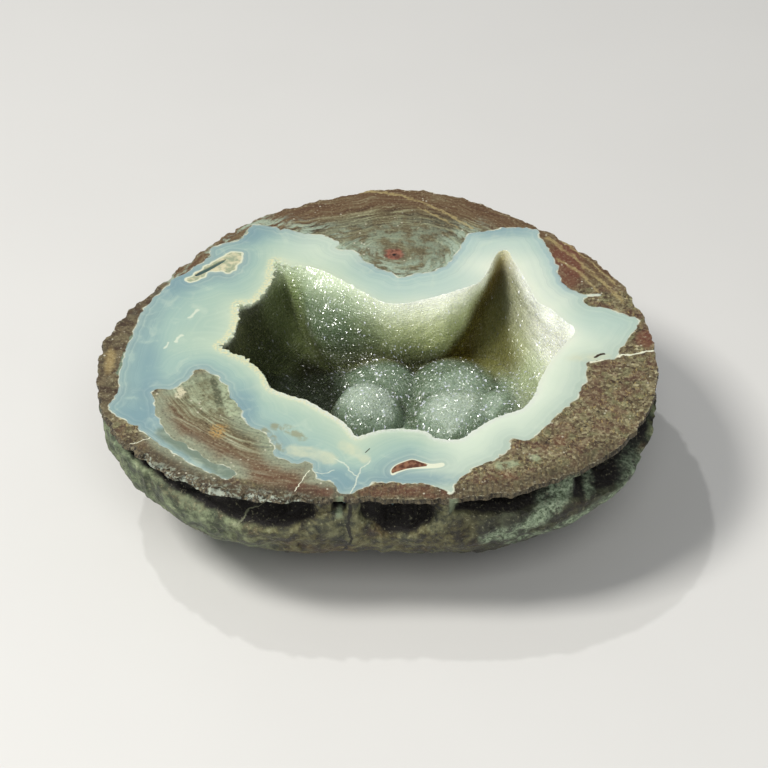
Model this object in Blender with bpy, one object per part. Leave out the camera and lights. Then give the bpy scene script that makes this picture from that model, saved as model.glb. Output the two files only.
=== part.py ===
"""Half of an agate geode, sawn flat: rhyolite rind, agate band and the quartz druse that lines its hollow.

The sawn face is up and level. X runs along the longest side, and the stone rests on its flat base at z = 0.
Sizes are millimetres here and become metres where the vertices are made.
"""

import math
import random

import bmesh
import bpy
from mathutils import Vector, noise
from mathutils.geometry import delaunay_2d_cdt

MM = 0.001
HEIGHT = 31.0
GAP = 0.3
CRUST_THICKNESS = 1.2

RIM_STATIONS = 76
RIM_OUTLINE = (
    (-50.3, -9.5), (-49.8, -2.5), (-47.5, 3.0), (-45.0, 8.0), (-41.5, 13.0), (-37.5, 19.0),
    (-33.0, 25.5),
    (-28.0, 31.0), (-22.0, 36.0), (-15.5, 39.5), (-8.0, 42.2), (-1.0, 44.5), (6.5, 44.7), (13.5, 43.0),
    (20.0, 39.8), (26.5, 35.8), (33.0, 30.5), (39.0, 24.5), (43.8, 18.0), (47.0, 11.0), (49.6, 3.0),
    (50.3, -4.5), (50.3, -12.0), (48.7, -20.0), (45.5, -26.3), (41.2, -32.3), (36.0, -36.5), (30.0, -39.8),
    (24.0, -42.6), (17.5, -43.8), (11.0, -44.7), (3.5, -44.6), (-5.0, -44.3), (-13.5, -44.7), (-21.0, -44.3),
    (-28.0, -42.8), (-34.5, -39.0), (-40.0, -34.0), (-44.5, -29.5), (-47.8, -23.5), (-49.6, -17.0),
)

# The star where the agate meets the rhyolite, on the sawn face, from the tip at the left.
AGATE_STAR = (
    (-47.2, -21.0), (-46.6, -18.0), (-46.0, -14.5), (-45.9, -9.5), (-45.4, -5.0), (-44.7, -0.5),
    (-44.0, 3.5), (-42.7, 7.5), (-40.5, 12.0), (-38.2, 16.0), (-35.2, 19.2), (-33.2, 21.5), (-31.6, 23.5),
    (-31.0, 26.3), (-28.3, 27.6), (-25.8, 28.7), (-25.0, 30.2), (-24.2, 32.4), (-22.8, 33.3), (-21.3, 33.2),
    (-18.3, 32.0), (-14.5, 30.9), (-10.6, 29.9), (-8.5, 29.2), (-7.5, 27.6), (-7.4, 25.8), (-5.7, 25.4),
    (-3.8, 24.7), (-3.0, 22.5), (-1.1, 21.0), (0.3, 19.8), (2.2, 18.7), (4.4, 16.9), (6.5, 17.9),
    (9.5, 18.5), (12.0, 19.8), (13.8, 21.8), (15.2, 25.0), (16.3, 27.6), (16.8, 29.8), (19.4, 31.2),
    (22.6, 32.0), (25.5, 32.4), (28.2, 32.4), (30.0, 31.8), (31.0, 29.8), (31.9, 27.0), (33.2, 22.8),
    (34.2, 18.0), (35.0, 14.5), (36.4, 13.0), (38.8, 12.1), (41.4, 11.6), (38.9, 10.6), (38.6, 9.0),
    (39.9, 8.1), (41.7, 7.9), (44.5, 6.5), (48.0, 3.9), (47.0, 1.0), (45.5, -1.8), (44.1, -4.2),
    (43.2, -6.4), (41.0, -7.5), (38.2, -7.9), (37.6, -11.5), (36.6, -15.2), (34.8, -19.0), (32.0, -22.2),
    (29.6, -25.8), (27.7, -28.2), (26.1, -29.6), (24.6, -29.0), (23.5, -29.6), (23.0, -31.6), (20.8, -34.2),
    (18.5, -35.3), (16.2, -37.0), (15.0, -38.9), (13.6, -40.4), (12.7, -43.0), (11.2, -42.0), (8.8, -40.7),
    (7.0, -40.2), (4.0, -40.4), (0.6, -40.3), (-1.2, -40.8), (-2.6, -42.1), (-4.9, -43.2), (-6.2, -42.4),
    (-7.0, -40.9), (-7.9, -39.8), (-9.7, -39.5), (-10.6, -38.0), (-11.1, -35.6), (-13.1, -35.2),
    (-15.2, -35.1), (-17.2, -33.7), (-18.1, -31.2), (-19.0, -28.3), (-20.5, -26.8), (-22.0, -25.5),
    (-23.7, -23.8), (-24.0, -21.5), (-25.0, -18.7), (-26.3, -16.2), (-26.9, -14.3), (-28.4, -12.5),
    (-30.8, -9.9), (-32.2, -10.3), (-33.5, -12.4), (-35.4, -15.0), (-37.0, -15.8), (-39.7, -16.0),
)

# The thin tongue of agate that follows the rind at the front left. It is shallow and shrinks to its root.
AGATE_TONGUE = (
    (-39.4, -19.4), (-38.4, -23.0), (-37.2, -26.4), (-35.2, -28.8), (-32.7, -30.8), (-30.8, -32.8),
    (-28.4, -34.8), (-25.6, -36.1), (-24.2, -37.9), (-25.6, -39.2), (-27.4, -38.7), (-30.0, -36.7),
    (-33.4, -34.0), (-37.0, -30.9), (-40.2, -27.6), (-43.0, -25.0), (-45.8, -22.9),
)
TONGUE_ROOT = (-41.8, -20.8)

# The mouth of the hollow on the sawn face, from its tip at the left.
HOLLOW_OUTLINE = (
    (-28.7, -3.0), (-27.3, -1.5), (-26.3, 1.0), (-25.7, 4.5), (-25.8, 9.0), (-23.3, 9.3), (-21.5, 12.0),
    (-20.0, 15.8), (-19.4, 22.0), (-16.2, 21.0), (-12.4, 20.0), (-9.5, 18.5), (-6.6, 16.1), (-4.0, 13.8),
    (-1.1, 11.1), (1.5, 9.3), (4.3, 9.0), (8.0, 10.0), (12.0, 11.6), (16.0, 13.6), (18.8, 15.3),
    (20.4, 18.0), (21.7, 21.8), (22.8, 24.6), (24.6, 25.2), (25.5, 22.5), (26.9, 18.6), (28.3, 14.0),
    (29.6, 9.6), (32.0, 7.4), (34.0, 4.4), (36.2, 1.3), (34.5, -2.0), (32.4, -5.6), (30.6, -9.3),
    (29.2, -13.0), (27.6, -18.0), (25.6, -20.9), (22.7, -22.3), (19.9, -24.0), (17.0, -26.7), (14.4, -29.0),
    (10.6, -28.8), (8.6, -27.0), (5.0, -26.2), (1.4, -26.4), (-1.4, -27.4), (-3.5, -28.2), (-4.8, -26.0),
    (-6.6, -23.6), (-9.3, -21.2), (-12.3, -18.6), (-15.8, -17.0), (-18.8, -15.2), (-20.2, -11.6),
    (-22.3, -8.5), (-25.0, -6.3), (-27.8, -4.4),
)

# A narrow open slit in the agate at the back left.
SLIT_OUTLINE = ((-34.0, 17.3), (-31.4, 19.2), (-28.2, 22.3), (-28.8, 22.8), (-31.9, 20.1), (-34.2, 18.1))
SLIT_DEPTH = 2.0

# Where the pocket and the hollow draw together as they go down.
POCKET_CENTRE = (13.0, -10.0)

# Height, share of the rim's size, share of the groove's depth and share of the lumps and the swell.
SIDE_PROFILE = (
    (29.9, 1.000, 0.00, 0.0), (28.7, 0.996, 0.55, 0.3), (27.2, 0.990, 1.00, 0.5),
    (25.4, 0.985, 1.00, 0.6), (23.9, 0.982, 0.50, 0.7), (22.4, 0.975, 0.00, 0.9),
    (19.4, 0.955, 0.00, 1.0), (15.4, 0.895, 0.00, 1.0), (10.8, 0.790, 0.00, 1.0),
    (6.2, 0.645, 0.00, 0.8), (2.8, 0.495, 0.00, 0.4), (0.8, 0.400, 0.00, 0.0),
    (0.0, 0.370, 0.00, 0.0),
)

# Azimuth in degrees from +X, and how deep the groove under the rim is there. It fades at each rib.
GROOVE_DEPTHS = (
    (0, 0.6), (5, 0.5), (14, 1.8), (40, 1.6), (49, 0.4), (60, 1.4), (90, 1.6), (115, 1.0), (124, 0.3),
    (132, 0.8), (140, 0.3), (152, 1.0), (180, 1.2), (197, 0.8), (204, 0.2), (212, 1.4), (224, 1.8),
    (234, 1.4), (243, 2.8), (250, 3.2), (255, 2.4), (258, 0.6), (261, 1.6), (264, 0.2), (268, 1.0),
    (271, 2.9), (277, 3.0), (282, 2.0), (286, 0.2), (290, 1.0), (294, 3.4), (305, 4.4), (325, 4.6),
    (342, 3.4), (352, 2.2), (360, 0.6),
)
# Azimuth in degrees, and how far the body below the groove swells out there.
SIDE_SWELLS = (
    (0, 0.0), (205, 0.0), (240, 0.7), (275, 0.8), (300, 2.0), (325, 1.8), (345, 0.8), (360, 0.0),
)
EDGE_WEAR = 0.3
CHIPPED_FROM, CHIPPED_TO = 212.0, 256.0
CHIP_DEPTH = 1.3
CHIP_FLUTTER = 0.35
CHIP_FLUTTERS_IN_A_TURN = 31
LUMP_HEIGHT = 0.9
LUMP_SIZE = 9.0

# Height, share of the star's size, rounds of smoothing and share of the tongue's size.
POCKET_LEVELS = (
    (31.0, 1.000, 0, 1.0), (25.5, 0.960, 1, 0.70), (19.5, 0.915, 3, 0.25), (14.0, 0.810, 8, 0.15),
    (9.5, 0.600, 12, 0.10),
)

# Depth below the sawn face, share of the mouth's size and rounds of smoothing, down to the floor's edge.
HOLLOW_LEVELS = (
    (0.0, 1.000, 0), (2.6, 0.985, 1), (5.8, 0.975, 2), (9.0, 0.955, 4), (11.8, 0.925, 8),
    (14.0, 0.865, 14), (15.2, 0.780, 22),
)
FLOOR_DIP = 1.0
FLOOR_CELL = 2.5
FLOOR_MARGIN = 1.3
FLOOR_DIP_WIDTH = 8.0
ROW_RATIO = math.sqrt(3.0) / 2.0

# Centre x and y, height of the widest level, radius and rise of the rounded mounds on the floor.
FLOOR_MOUNDS = (
    (-0.4, -3.2, 12.4, 6.9, 9.6), (18.2, -2.6, 10.0, 11.8, 10.6), (3.6, 4.2, 11.6, 8.0, 8.4),
    (8.5, -15.0, 9.5, 8.0, 7.4), (22.8, -14.0, 10.0, 7.5, 7.4),
)
# Centre x, y, z and radius of the swellings of the walls.
WALL_MOUNDS = (
    (4.3, 14.2, 23.0, 7.0), (11.5, 18.5, 23.0, 8.4), (-3.5, 20.5, 23.0, 7.6),
    (-10.5, 26.5, 22.0, 8.2), (-23.5, -18.0, 20.0, 7.4), (36.0, -10.5, 20.0, 6.6),
)
BLEND = 1.2

# A crystal's height, its least share of it, and its share where it stands in a crease.
CRYSTAL_HEIGHT = 0.55
SHORTEST_CRYSTAL = 0.5
CREASE_CRYSTAL = 0.15
CREASE = math.radians(20)
CRYSTAL_SEED = 11

CURVE_STEPS = 12
CORNER_REACH = 2.0
SHARP_EDGE = math.radians(30)


def clear_scene():
    for thing in list(bpy.data.objects):
        bpy.data.objects.remove(thing, do_unlink=True)


def catmull_rom(outline, stations):
    """The closed smooth curve through the outline, as evenly spaced points."""
    dense = []
    count = len(outline)
    for i in range(count):
        p0, p1, p2, p3 = (Vector(outline[(i + k) % count]) for k in (-1, 0, 1, 2))
        for step in range(CURVE_STEPS):
            t = step / CURVE_STEPS
            dense.append(
                0.5 * (2 * p1 + (p2 - p0) * t + (2 * p0 - 5 * p1 + 4 * p2 - p3) * t * t
                       + (3 * p1 - p0 - 3 * p2 + p3) * t ** 3)
            )
    lengths = [0.0]
    for a, b in zip(dense, dense[1:] + dense[:1]):
        lengths.append(lengths[-1] + (b - a).length)
    points = []
    at = 0
    for i in range(stations):
        target = lengths[-1] * i / stations
        while lengths[at + 1] < target:
            at += 1
        share = (target - lengths[at]) / (lengths[at + 1] - lengths[at])
        points.append(dense[at].lerp(dense[(at + 1) % len(dense)], share))
    return points


def signed_area(points):
    return 0.5 * sum(a.cross(b) for a, b in zip(points, points[1:] + points[:1]))


def neighbours(points):
    """Each point of the closed outline, between the one before it and the one after it."""
    return zip(points[-1:] + points[:-1], points, points[1:] + points[:1])


def offset_outline(points, distance):
    """The closed outline moved outwards by a distance. A corner moves CORNER_REACH times it at most."""
    turn = 1.0 if signed_area(points) > 0 else -1.0
    moved = []
    for before, here, after in neighbours(points):
        first = (here - before).normalized()
        second = (after - here).normalized()
        normals = [Vector((edge.y, -edge.x)) * turn for edge in (first, second)]
        middle = (normals[0] + normals[1]).normalized()
        moved.append(here + middle * distance / max(middle.dot(normals[0]), 1.0 / CORNER_REACH))
    return moved


def smoothed(points, rounds):
    for _ in range(rounds):
        points = [here * 0.5 + (before + after) * 0.25 for before, here, after in neighbours(points)]
    return points


def scaled(points, share):
    centre = Vector(POCKET_CENTRE)
    return [centre + (point - centre) * share for point in points]


def ring(bm, points, height):
    """A closed loop of edges through the points, and its vertices in order."""
    verts = [bm.verts.new((point[0] * MM, point[1] * MM, height * MM)) for point in points]
    for a, b in zip(verts, verts[1:] + verts[:1]):
        bm.edges.new((a, b))
    return verts


def skin(bm, first, second):
    """Quads between two loops with the same number of vertices."""
    faces = []
    for i, vert in enumerate(first):
        j = (i + 1) % len(first)
        faces.append(bm.faces.new((vert, first[j], second[j], second[i])))
    return faces


def loft(bm, rings):
    return [face for first, second in zip(rings, rings[1:]) for face in skin(bm, first, second)]


def split_alike(bm, faces):
    """Cuts quads along the same corner each time, so that a surface and its neighbour's stay parallel."""
    bmesh.ops.triangulate(bm, faces=faces, quad_method="FIXED")


def loop_edges(verts):
    pairs = zip(verts, verts[1:] + verts[:1])
    return [edge for a, b in pairs for edge in a.link_edges if edge.other_vert(a) is b]


def fill_between(bm, loops):
    """Triangles over the flat face between an outer loop and the loops inside it."""
    edges = [edge for loop in loops for edge in loop_edges(loop)]
    bmesh.ops.triangle_fill(bm, use_beauty=True, edges=edges, normal=(0.0, 0.0, 1.0))


def finish(bm, name, material):
    bmesh.ops.recalc_face_normals(bm, faces=bm.faces)
    mesh = bpy.data.meshes.new(name)
    bm.to_mesh(mesh)
    bm.free()
    mesh.materials.append(material)
    mesh.shade_smooth()
    mesh.set_sharp_from_angle(angle=SHARP_EDGE)
    thing = bpy.data.objects.new(name, mesh)
    bpy.context.scene.collection.objects.link(thing)
    return thing


def make_material(name, colour, roughness):
    material = bpy.data.materials.new(name)
    material.use_nodes = True
    shader = material.node_tree.nodes["Principled BSDF"]
    shader.inputs["Base Color"].default_value = (*colour, 1.0)
    shader.inputs["Roughness"].default_value = roughness
    shader.inputs["Metallic"].default_value = 0.0
    return material


def between(table, at):
    """The value at a place in a table of (place, value) rows, eased from row to row."""
    for (low, first), (high, second) in zip(table, table[1:]):
        if low <= at <= high:
            t = (at - low) / (high - low)
            return first + (second - first) * t * t * (3 - 2 * t)
    return table[-1][1]


def azimuth(point):
    return math.degrees(math.atan2(point.y, point.x)) % 360.0


def chip(angle):
    """How far the sawn face's edge is broken back at an azimuth."""
    if not CHIPPED_FROM < angle < CHIPPED_TO:
        return EDGE_WEAR
    bite = math.sin(math.pi * (angle - CHIPPED_FROM) / (CHIPPED_TO - CHIPPED_FROM))
    flutter = CHIP_FLUTTER * (math.sin(math.radians(angle * CHIP_FLUTTERS_IN_A_TURN)) - 1.0)
    return EDGE_WEAR + CHIP_DEPTH * bite * (1.0 + flutter)


def side_rings(bm):
    """The rind's outside from the sawn face down: rim, groove, ledge and the curve down to the base."""
    rim = catmull_rom(RIM_OUTLINE, RIM_STATIONS)
    rings = [ring(bm, [point - point.normalized() * chip(azimuth(point)) for point in rim], HEIGHT)]
    for height, share, groove, lumps in SIDE_PROFILE:
        points = []
        for point in rim:
            lump = noise.noise(Vector((point.x * share, point.y * share, height)) / LUMP_SIZE)
            outward = LUMP_HEIGHT * lump + between(SIDE_SWELLS, azimuth(point))
            inward = groove * between(GROOVE_DEPTHS, azimuth(point)) - lumps * outward
            points.append(point * share - point.normalized() * inward)
        rings.append(ring(bm, points, height))
    return rings


def contact_rings(bm, behind):
    """The contact of agate and rhyolite as rings, moved back into the rhyolite by a distance."""
    root = Vector(TONGUE_ROOT)
    outlines = []
    for _, share, rounds, reach in POCKET_LEVELS:
        star = [Vector(point) for point in AGATE_STAR]
        star += [root.lerp(Vector(point), reach) for point in AGATE_TONGUE]
        outlines.append(scaled(smoothed(star, rounds), share))
    rings = [ring(bm, points, level[0]) for points, level in zip(outlines, POCKET_LEVELS)]
    split_alike(bm, loft(bm, rings))
    fill_between(bm, [rings[-1]])
    bmesh.ops.recalc_face_normals(bm, faces=bm.faces)
    bm.normal_update()
    floor = max(rings[-1][0].link_faces, key=lambda face: abs(face.normal.z))
    outwards = -1.0 if floor.normal.z > 0.0 else 1.0
    moves = [(vert, vert.normal.copy()) for verts in rings[1:] for vert in verts]
    for vert, normal in moves:
        vert.co += normal * outwards * behind * MM
    for vert, point in zip(rings[0], offset_outline(outlines[0], behind)):
        vert.co = Vector((point.x, point.y, HEIGHT)) * MM
    return rings


def eased(short):
    """How far to move a point that is short of a surface by this much, blended in just outside it."""
    if short > BLEND:
        return short
    return (short + BLEND) ** 2 / (4 * BLEND) if short > -BLEND else 0.0


def lifted(point):
    """A point of the hollow's lining, moved sideways off the walls' swellings and up onto the mounds."""
    for x, y, z, radius in WALL_MOUNDS:
        rise = point.z - z
        if abs(rise) < radius:
            away = Vector((point.x - x, point.y - y, 0.0))
            short = math.sqrt(radius * radius - rise * rise) - away.length
            point = point + away.normalized() * eased(short)
    for x, y, base, radius, rise in FLOOR_MOUNDS:
        across = math.hypot(point.x - x, point.y - y) / radius
        if across < 1.0:
            crown = base + rise * math.sqrt(1.0 - across * across)
            point = point + Vector((0.0, 0.0, eased(crown - point.z)))
    return point


def inside(point, outline):
    """Whether a point lies in the closed outline."""
    odd = False
    for a, b in zip(outline, outline[1:] + outline[:1]):
        if (a.y > point.y) == (b.y > point.y):
            continue
        crossing = a.x + (b.x - a.x) * (point.y - a.y) / (b.y - a.y)
        odd = odd != (point.x < crossing)
    return odd


def floor_points(edge):
    """Staggered rows of points over the floor, clear of its edge."""
    clear = offset_outline(edge, -FLOOR_MARGIN)
    corner = Vector((min(p.x for p in edge), min(p.y for p in edge)))
    span = Vector((max(p.x for p in edge), max(p.y for p in edge))) - corner
    rows = int(span.y / (FLOOR_CELL * ROW_RATIO)) + 1
    columns = int(span.x / FLOOR_CELL) + 1
    points = []
    for row in range(rows):
        for column in range(columns):
            step = Vector(((column + 0.5 * (row % 2)) * FLOOR_CELL, row * FLOOR_CELL * ROW_RATIO))
            if inside(corner + step, clear):
                points.append(corner + step)
    return points


def floor_height(point, edge):
    """The floor's dip, deepest in its middle."""
    away = min((point - other).length for other in edge)
    return HEIGHT - HOLLOW_LEVELS[-1][0] - FLOOR_DIP * min(1.0, away / FLOOR_DIP_WIDTH)


def lining(bm, behind):
    """The surface of the hollow, moved back into the stone by a distance. Returns its mouth and faces."""
    mouth = [Vector(point) for point in HOLLOW_OUTLINE]
    rings = []
    for depth, share, rounds in HOLLOW_LEVELS:
        level = scaled(smoothed(mouth, rounds), share)
        flat = [point.to_3d() + Vector((0.0, 0.0, HEIGHT - depth)) for point in level]
        points = flat if depth == 0.0 else [lifted(point) for point in flat]
        rings.append([bm.verts.new(point * MM) for point in points])
    faces = loft(bm, rings)
    edge = [Vector(vert.co[:2]) / MM for vert in rings[-1]]
    middles = floor_points(edge)
    loop = [(i, (i + 1) % len(edge)) for i in range(len(edge))]
    _, _, cells, _, _, _ = delaunay_2d_cdt(edge + middles, loop, [], 1, 1e-6)
    verts = list(rings[-1])
    for point in middles:
        verts.append(bm.verts.new(lifted(Vector((*point, floor_height(point, edge)))) * MM))
    faces += [bm.faces.new([verts[i] for i in cell]) for cell in cells]
    bmesh.ops.recalc_face_normals(bm, faces=faces)
    bm.normal_update()
    inwards = 1.0 if verts[-1].normal.z > 0.0 else -1.0
    below_mouth = [vert for level in rings[1:-1] for vert in level] + verts
    for vert, normal in [(vert, vert.normal.copy()) for vert in below_mouth]:
        vert.co -= normal * inwards * behind * MM
    for vert, point in zip(rings[0], offset_outline(mouth, behind)):
        vert.co = Vector((point.x, point.y, HEIGHT)) * MM
    return rings[0], faces


def concave(face):
    """Whether the face lies in a crease, where a tall crystal would run into the next wall."""
    return any(edge.calc_face_angle_signed(0.0) < -CREASE for edge in face.edges)


def make_rind(material):
    bm = bmesh.new()
    pocket = contact_rings(bm, GAP)
    side = side_rings(bm)
    loft(bm, side)
    bm.faces.new(side[-1])
    fill_between(bm, [side[0], pocket[0]])
    return finish(bm, "rock_rind", material)


def make_agate(material):
    bm = bmesh.new()
    contact = contact_rings(bm, 0.0)
    mouth, faces = lining(bm, CRUST_THICKNESS + GAP)
    split_alike(bm, faces)
    slit_top = ring(bm, SLIT_OUTLINE, HEIGHT)
    slit_floor = ring(bm, SLIT_OUTLINE, HEIGHT - SLIT_DEPTH)
    loft(bm, [slit_top, slit_floor])
    bm.faces.new(slit_floor)
    fill_between(bm, [contact[0], mouth, slit_top])
    return finish(bm, "agate_band", material)


def make_crust(material):
    bm = bmesh.new()
    back, behind = lining(bm, CRUST_THICKNESS)
    split_alike(bm, behind)
    front, druse = lining(bm, 0.0)
    skin(bm, front, back)
    bmesh.ops.recalc_face_normals(bm, faces=bm.faces)
    bm.normal_update()
    chance = random.Random(CRYSTAL_SEED)
    shares = [CREASE_CRYSTAL if concave(face) else 1.0 for face in druse]
    for face, share in zip(druse, shares):
        height = CRYSTAL_HEIGHT * share * chance.uniform(SHORTEST_CRYSTAL, 1.0)
        bmesh.ops.poke(bm, faces=[face], offset=height * MM)
    return finish(bm, "crystal_crust", material)


clear_scene()
make_rind(make_material("rhyolite", (0.16, 0.10, 0.07), 0.75))
make_agate(make_material("agate", (0.52, 0.63, 0.60), 0.18))
make_crust(make_material("quartz_druse", (0.40, 0.42, 0.33), 0.30))
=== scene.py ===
"""Half of an agate geode, dressed for the camera: rhyolite rind, banded agate and the druse in its hollow.

Lengths are millimetres until the vertices are made, and the sawn face is level at z = TOP.
"""

import math
import random

import bmesh
import bpy
import numpy as np
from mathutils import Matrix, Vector, noise
from mathutils.bvhtree import BVHTree
from mathutils.geometry import delaunay_2d_cdt


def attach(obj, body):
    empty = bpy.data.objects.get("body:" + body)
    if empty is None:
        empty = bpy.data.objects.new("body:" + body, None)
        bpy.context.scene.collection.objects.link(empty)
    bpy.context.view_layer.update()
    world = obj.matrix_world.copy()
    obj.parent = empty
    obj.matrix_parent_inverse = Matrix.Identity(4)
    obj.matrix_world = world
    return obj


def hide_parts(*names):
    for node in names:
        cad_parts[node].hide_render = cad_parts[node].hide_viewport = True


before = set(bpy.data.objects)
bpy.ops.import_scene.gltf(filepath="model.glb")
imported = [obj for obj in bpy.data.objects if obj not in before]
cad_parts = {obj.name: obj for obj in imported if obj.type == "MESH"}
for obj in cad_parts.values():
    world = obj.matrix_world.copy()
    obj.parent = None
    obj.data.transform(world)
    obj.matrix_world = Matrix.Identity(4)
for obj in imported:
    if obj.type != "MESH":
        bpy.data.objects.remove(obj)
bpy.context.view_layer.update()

MM = 0.001
TOP = 31.0
SEED = 7
# Points that are measured at once, which only keeps the arrays small.
AT_ONCE = 4000
# Points of the smooth curves for each point of their tables.
RIM_STEPS = 16
STAR_STEPS = 6
MOUTH_STEPS = 15
PATCH_STEPS = 5
RIM_SPACING = 0.42
# Sizes of the triangles, and how near to a line their corners may come, as a share of that size.
RIND_CELL = 0.75
AGATE_CELL = 0.5
FRONT_CELL = 0.52
BACK_CELL = 1.8
CLEAR_OF_LINES = 0.62
# What an attribute says away from the sawn face.
FAR_FROM_LINES = 9.0
# Rows of the crust's front and back, and the depths at which the wall is traced for them.
FRONT_ROWS = 40
BACK_ROWS = 14
TRACED_DEPTHS = 90
# How far the front's corners are shaken, as a share of the steps between them.
SHAKE = 0.3
CRYSTAL_SIZES = 8
# Short looks at the sky from the crust, each turned on by the golden angle.
LOOKS = 18
LOOK_LENGTH = 14.0
GOLDEN_ANGLE = 2.39996
# In metres: the place that the lights point to.
LIT_PLACE = (0.0, 0.0, 0.02)

RIM = (
    (-50.3, -9.5), (-49.8, -2.5), (-47.5, 3), (-45, 8), (-41.5, 13), (-37.5, 19), (-33, 25.5), (-28, 31),
    (-22, 36), (-15.5, 39.5), (-8, 42.2), (-1, 44.5), (6.5, 44.7), (13.5, 43), (20, 39.8), (26.5, 35.8),
    (33, 30.5), (39, 24.5), (43.8, 18), (47, 11), (49.6, 3), (50.3, -4.5), (50.3, -12), (48.7, -20),
    (45.5, -26.3), (41.2, -32.3), (36, -36.5), (30, -39.8), (24, -42.6), (17.5, -43.8), (11, -44.7),
    (3.5, -44.6), (-5, -44.3), (-13.5, -44.7), (-21, -44.3), (-28, -42.8), (-34.5, -39), (-40, -34),
    (-44.5, -29.5), (-47.8, -23.5), (-49.6, -17),
)
STAR = (
    (-47.2, -21), (-46.6, -18), (-46, -14.5), (-45.9, -9.5), (-45.4, -5), (-44.7, -0.5), (-44, 3.5),
    (-42.7, 7.5), (-40.5, 12), (-38.2, 16), (-35.2, 19.2), (-33.2, 21.5), (-31.6, 23.5), (-31, 26.3),
    (-28.3, 27.6), (-25.8, 28.7), (-25, 30.2), (-24.2, 32.4), (-22.8, 33.3), (-21.3, 33.2), (-18.3, 32),
    (-14.5, 30.9), (-10.6, 29.9), (-8.5, 29.2), (-7.5, 27.6), (-7.4, 25.8), (-5.7, 25.4), (-3.8, 24.7),
    (-3, 22.5), (-1.1, 21), (0.3, 19.8), (2.2, 18.7), (4.4, 16.9), (6.5, 17.9), (9.5, 18.5), (12, 19.8),
    (13.8, 21.8), (15.2, 25), (16.3, 27.6), (16.8, 29.8), (19.4, 31.2), (22.6, 32), (25.5, 32.4),
    (28.2, 32.4), (30, 31.8), (31, 29.8), (31.9, 27), (33.2, 22.8), (34.2, 18), (35, 14.5), (36.4, 13),
    (38.8, 12.1), (41.4, 11.6), (38.9, 10.6), (38.6, 9), (39.9, 8.1), (41.7, 7.9), (44.5, 6.5), (48, 3.9),
    (47, 1), (45.5, -1.8), (44.1, -4.2), (43.2, -6.4), (41, -7.5), (38.2, -7.9), (37.6, -11.5),
    (36.6, -15.2), (34.8, -19), (32, -22.2), (29.6, -25.8), (27.7, -28.2), (26.1, -29.6), (24.6, -29),
    (23.5, -29.6), (23, -31.6), (20.8, -34.2), (18.5, -35.3), (16.2, -37), (15, -38.9), (13.6, -40.4),
    (12.7, -43), (11.2, -42), (8.8, -40.7), (7, -40.2), (4, -40.4), (0.6, -40.3), (-1.2, -40.8),
    (-2.6, -42.1), (-4.9, -43.2), (-6.2, -42.4), (-7, -40.9), (-7.9, -39.8), (-9.7, -39.5), (-10.6, -38),
    (-11.1, -35.6), (-13.1, -35.2), (-15.2, -35.1), (-17.2, -33.7), (-18.1, -31.2), (-19, -28.3),
    (-20.5, -26.8), (-22, -25.5), (-23.7, -23.8), (-24, -21.5), (-25, -18.7), (-26.3, -16.2),
    (-26.9, -14.3), (-28.4, -12.5), (-30.8, -9.9), (-32.2, -10.3), (-33.5, -12.4), (-35.4, -15),
    (-37, -15.8), (-39.7, -16),
)
TONGUE = (
    (-39.4, -19.4), (-38.4, -23), (-37.2, -26.4), (-35.2, -28.8), (-32.7, -30.8), (-30.8, -32.8),
    (-28.4, -34.8), (-25.6, -36.1), (-24.2, -37.9), (-25.6, -39.2), (-27.4, -38.7), (-30, -36.7),
    (-33.4, -34), (-37, -30.9), (-40.2, -27.6), (-43, -25), (-45.8, -22.9),
)
TONGUE_ROOT = (-41.8, -20.8)
MOUTH = (
    (-28.7, -3), (-27.3, -1.5), (-26.3, 1), (-25.7, 4.5), (-25.8, 9), (-23.3, 9.3), (-21.5, 12),
    (-20, 15.8), (-19.4, 22), (-16.2, 21), (-12.4, 20), (-9.5, 18.5), (-6.6, 16.1), (-4, 13.8),
    (-1.1, 11.1), (1.5, 9.3), (4.3, 9), (8, 10), (12, 11.6), (16, 13.6), (18.8, 15.3), (20.4, 18),
    (21.7, 21.8), (22.8, 24.6), (24.6, 25.2), (25.5, 22.5), (26.9, 18.6), (28.3, 14), (29.6, 9.6),
    (32, 7.4), (34, 4.4), (36.2, 1.3), (34.5, -2), (32.4, -5.6), (30.6, -9.3), (29.2, -13), (27.6, -18),
    (25.6, -20.9), (22.7, -22.3), (19.9, -24), (17, -26.7), (14.4, -29), (10.6, -28.8), (8.6, -27),
    (5, -26.2), (1.4, -26.4), (-1.4, -27.4), (-3.5, -28.2), (-4.8, -26), (-6.6, -23.6), (-9.3, -21.2),
    (-12.3, -18.6), (-15.8, -17), (-18.8, -15.2), (-20.2, -11.6), (-22.3, -8.5), (-25, -6.3), (-27.8, -4.4),
)
# The rock that the agate has closed around at the front, and the pale patch round the slit at the back left.
ISLAND = (
    (2.5, -37.1), (3.3, -35.8), (4.9, -34.8), (6.3, -34.3), (8, -35.1), (9.6, -35.6), (11.3, -35.4),
    (10.7, -35.9), (7.6, -36.4), (5.4, -36.8), (3.6, -37.6), (2.7, -38.1),
)
PATCH = (
    (-35.8, 15.9), (-35, 17.2), (-33.4, 18.6), (-31.6, 21), (-30, 22.3), (-28, 24.5), (-25.8, 24.8),
    (-25.3, 23.7), (-25.9, 21), (-27.2, 18.4), (-28.9, 18.6), (-30.8, 18.8), (-32.6, 16.9), (-34.5, 15.5),
)
SLIT = ((-33.6, 17.3), (-31.4, 19.0), (-28.6, 21.9), (-28.9, 22.3), (-31.8, 19.8), (-33.9, 17.9))
SLIT_DEPTH = 2.0

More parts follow.
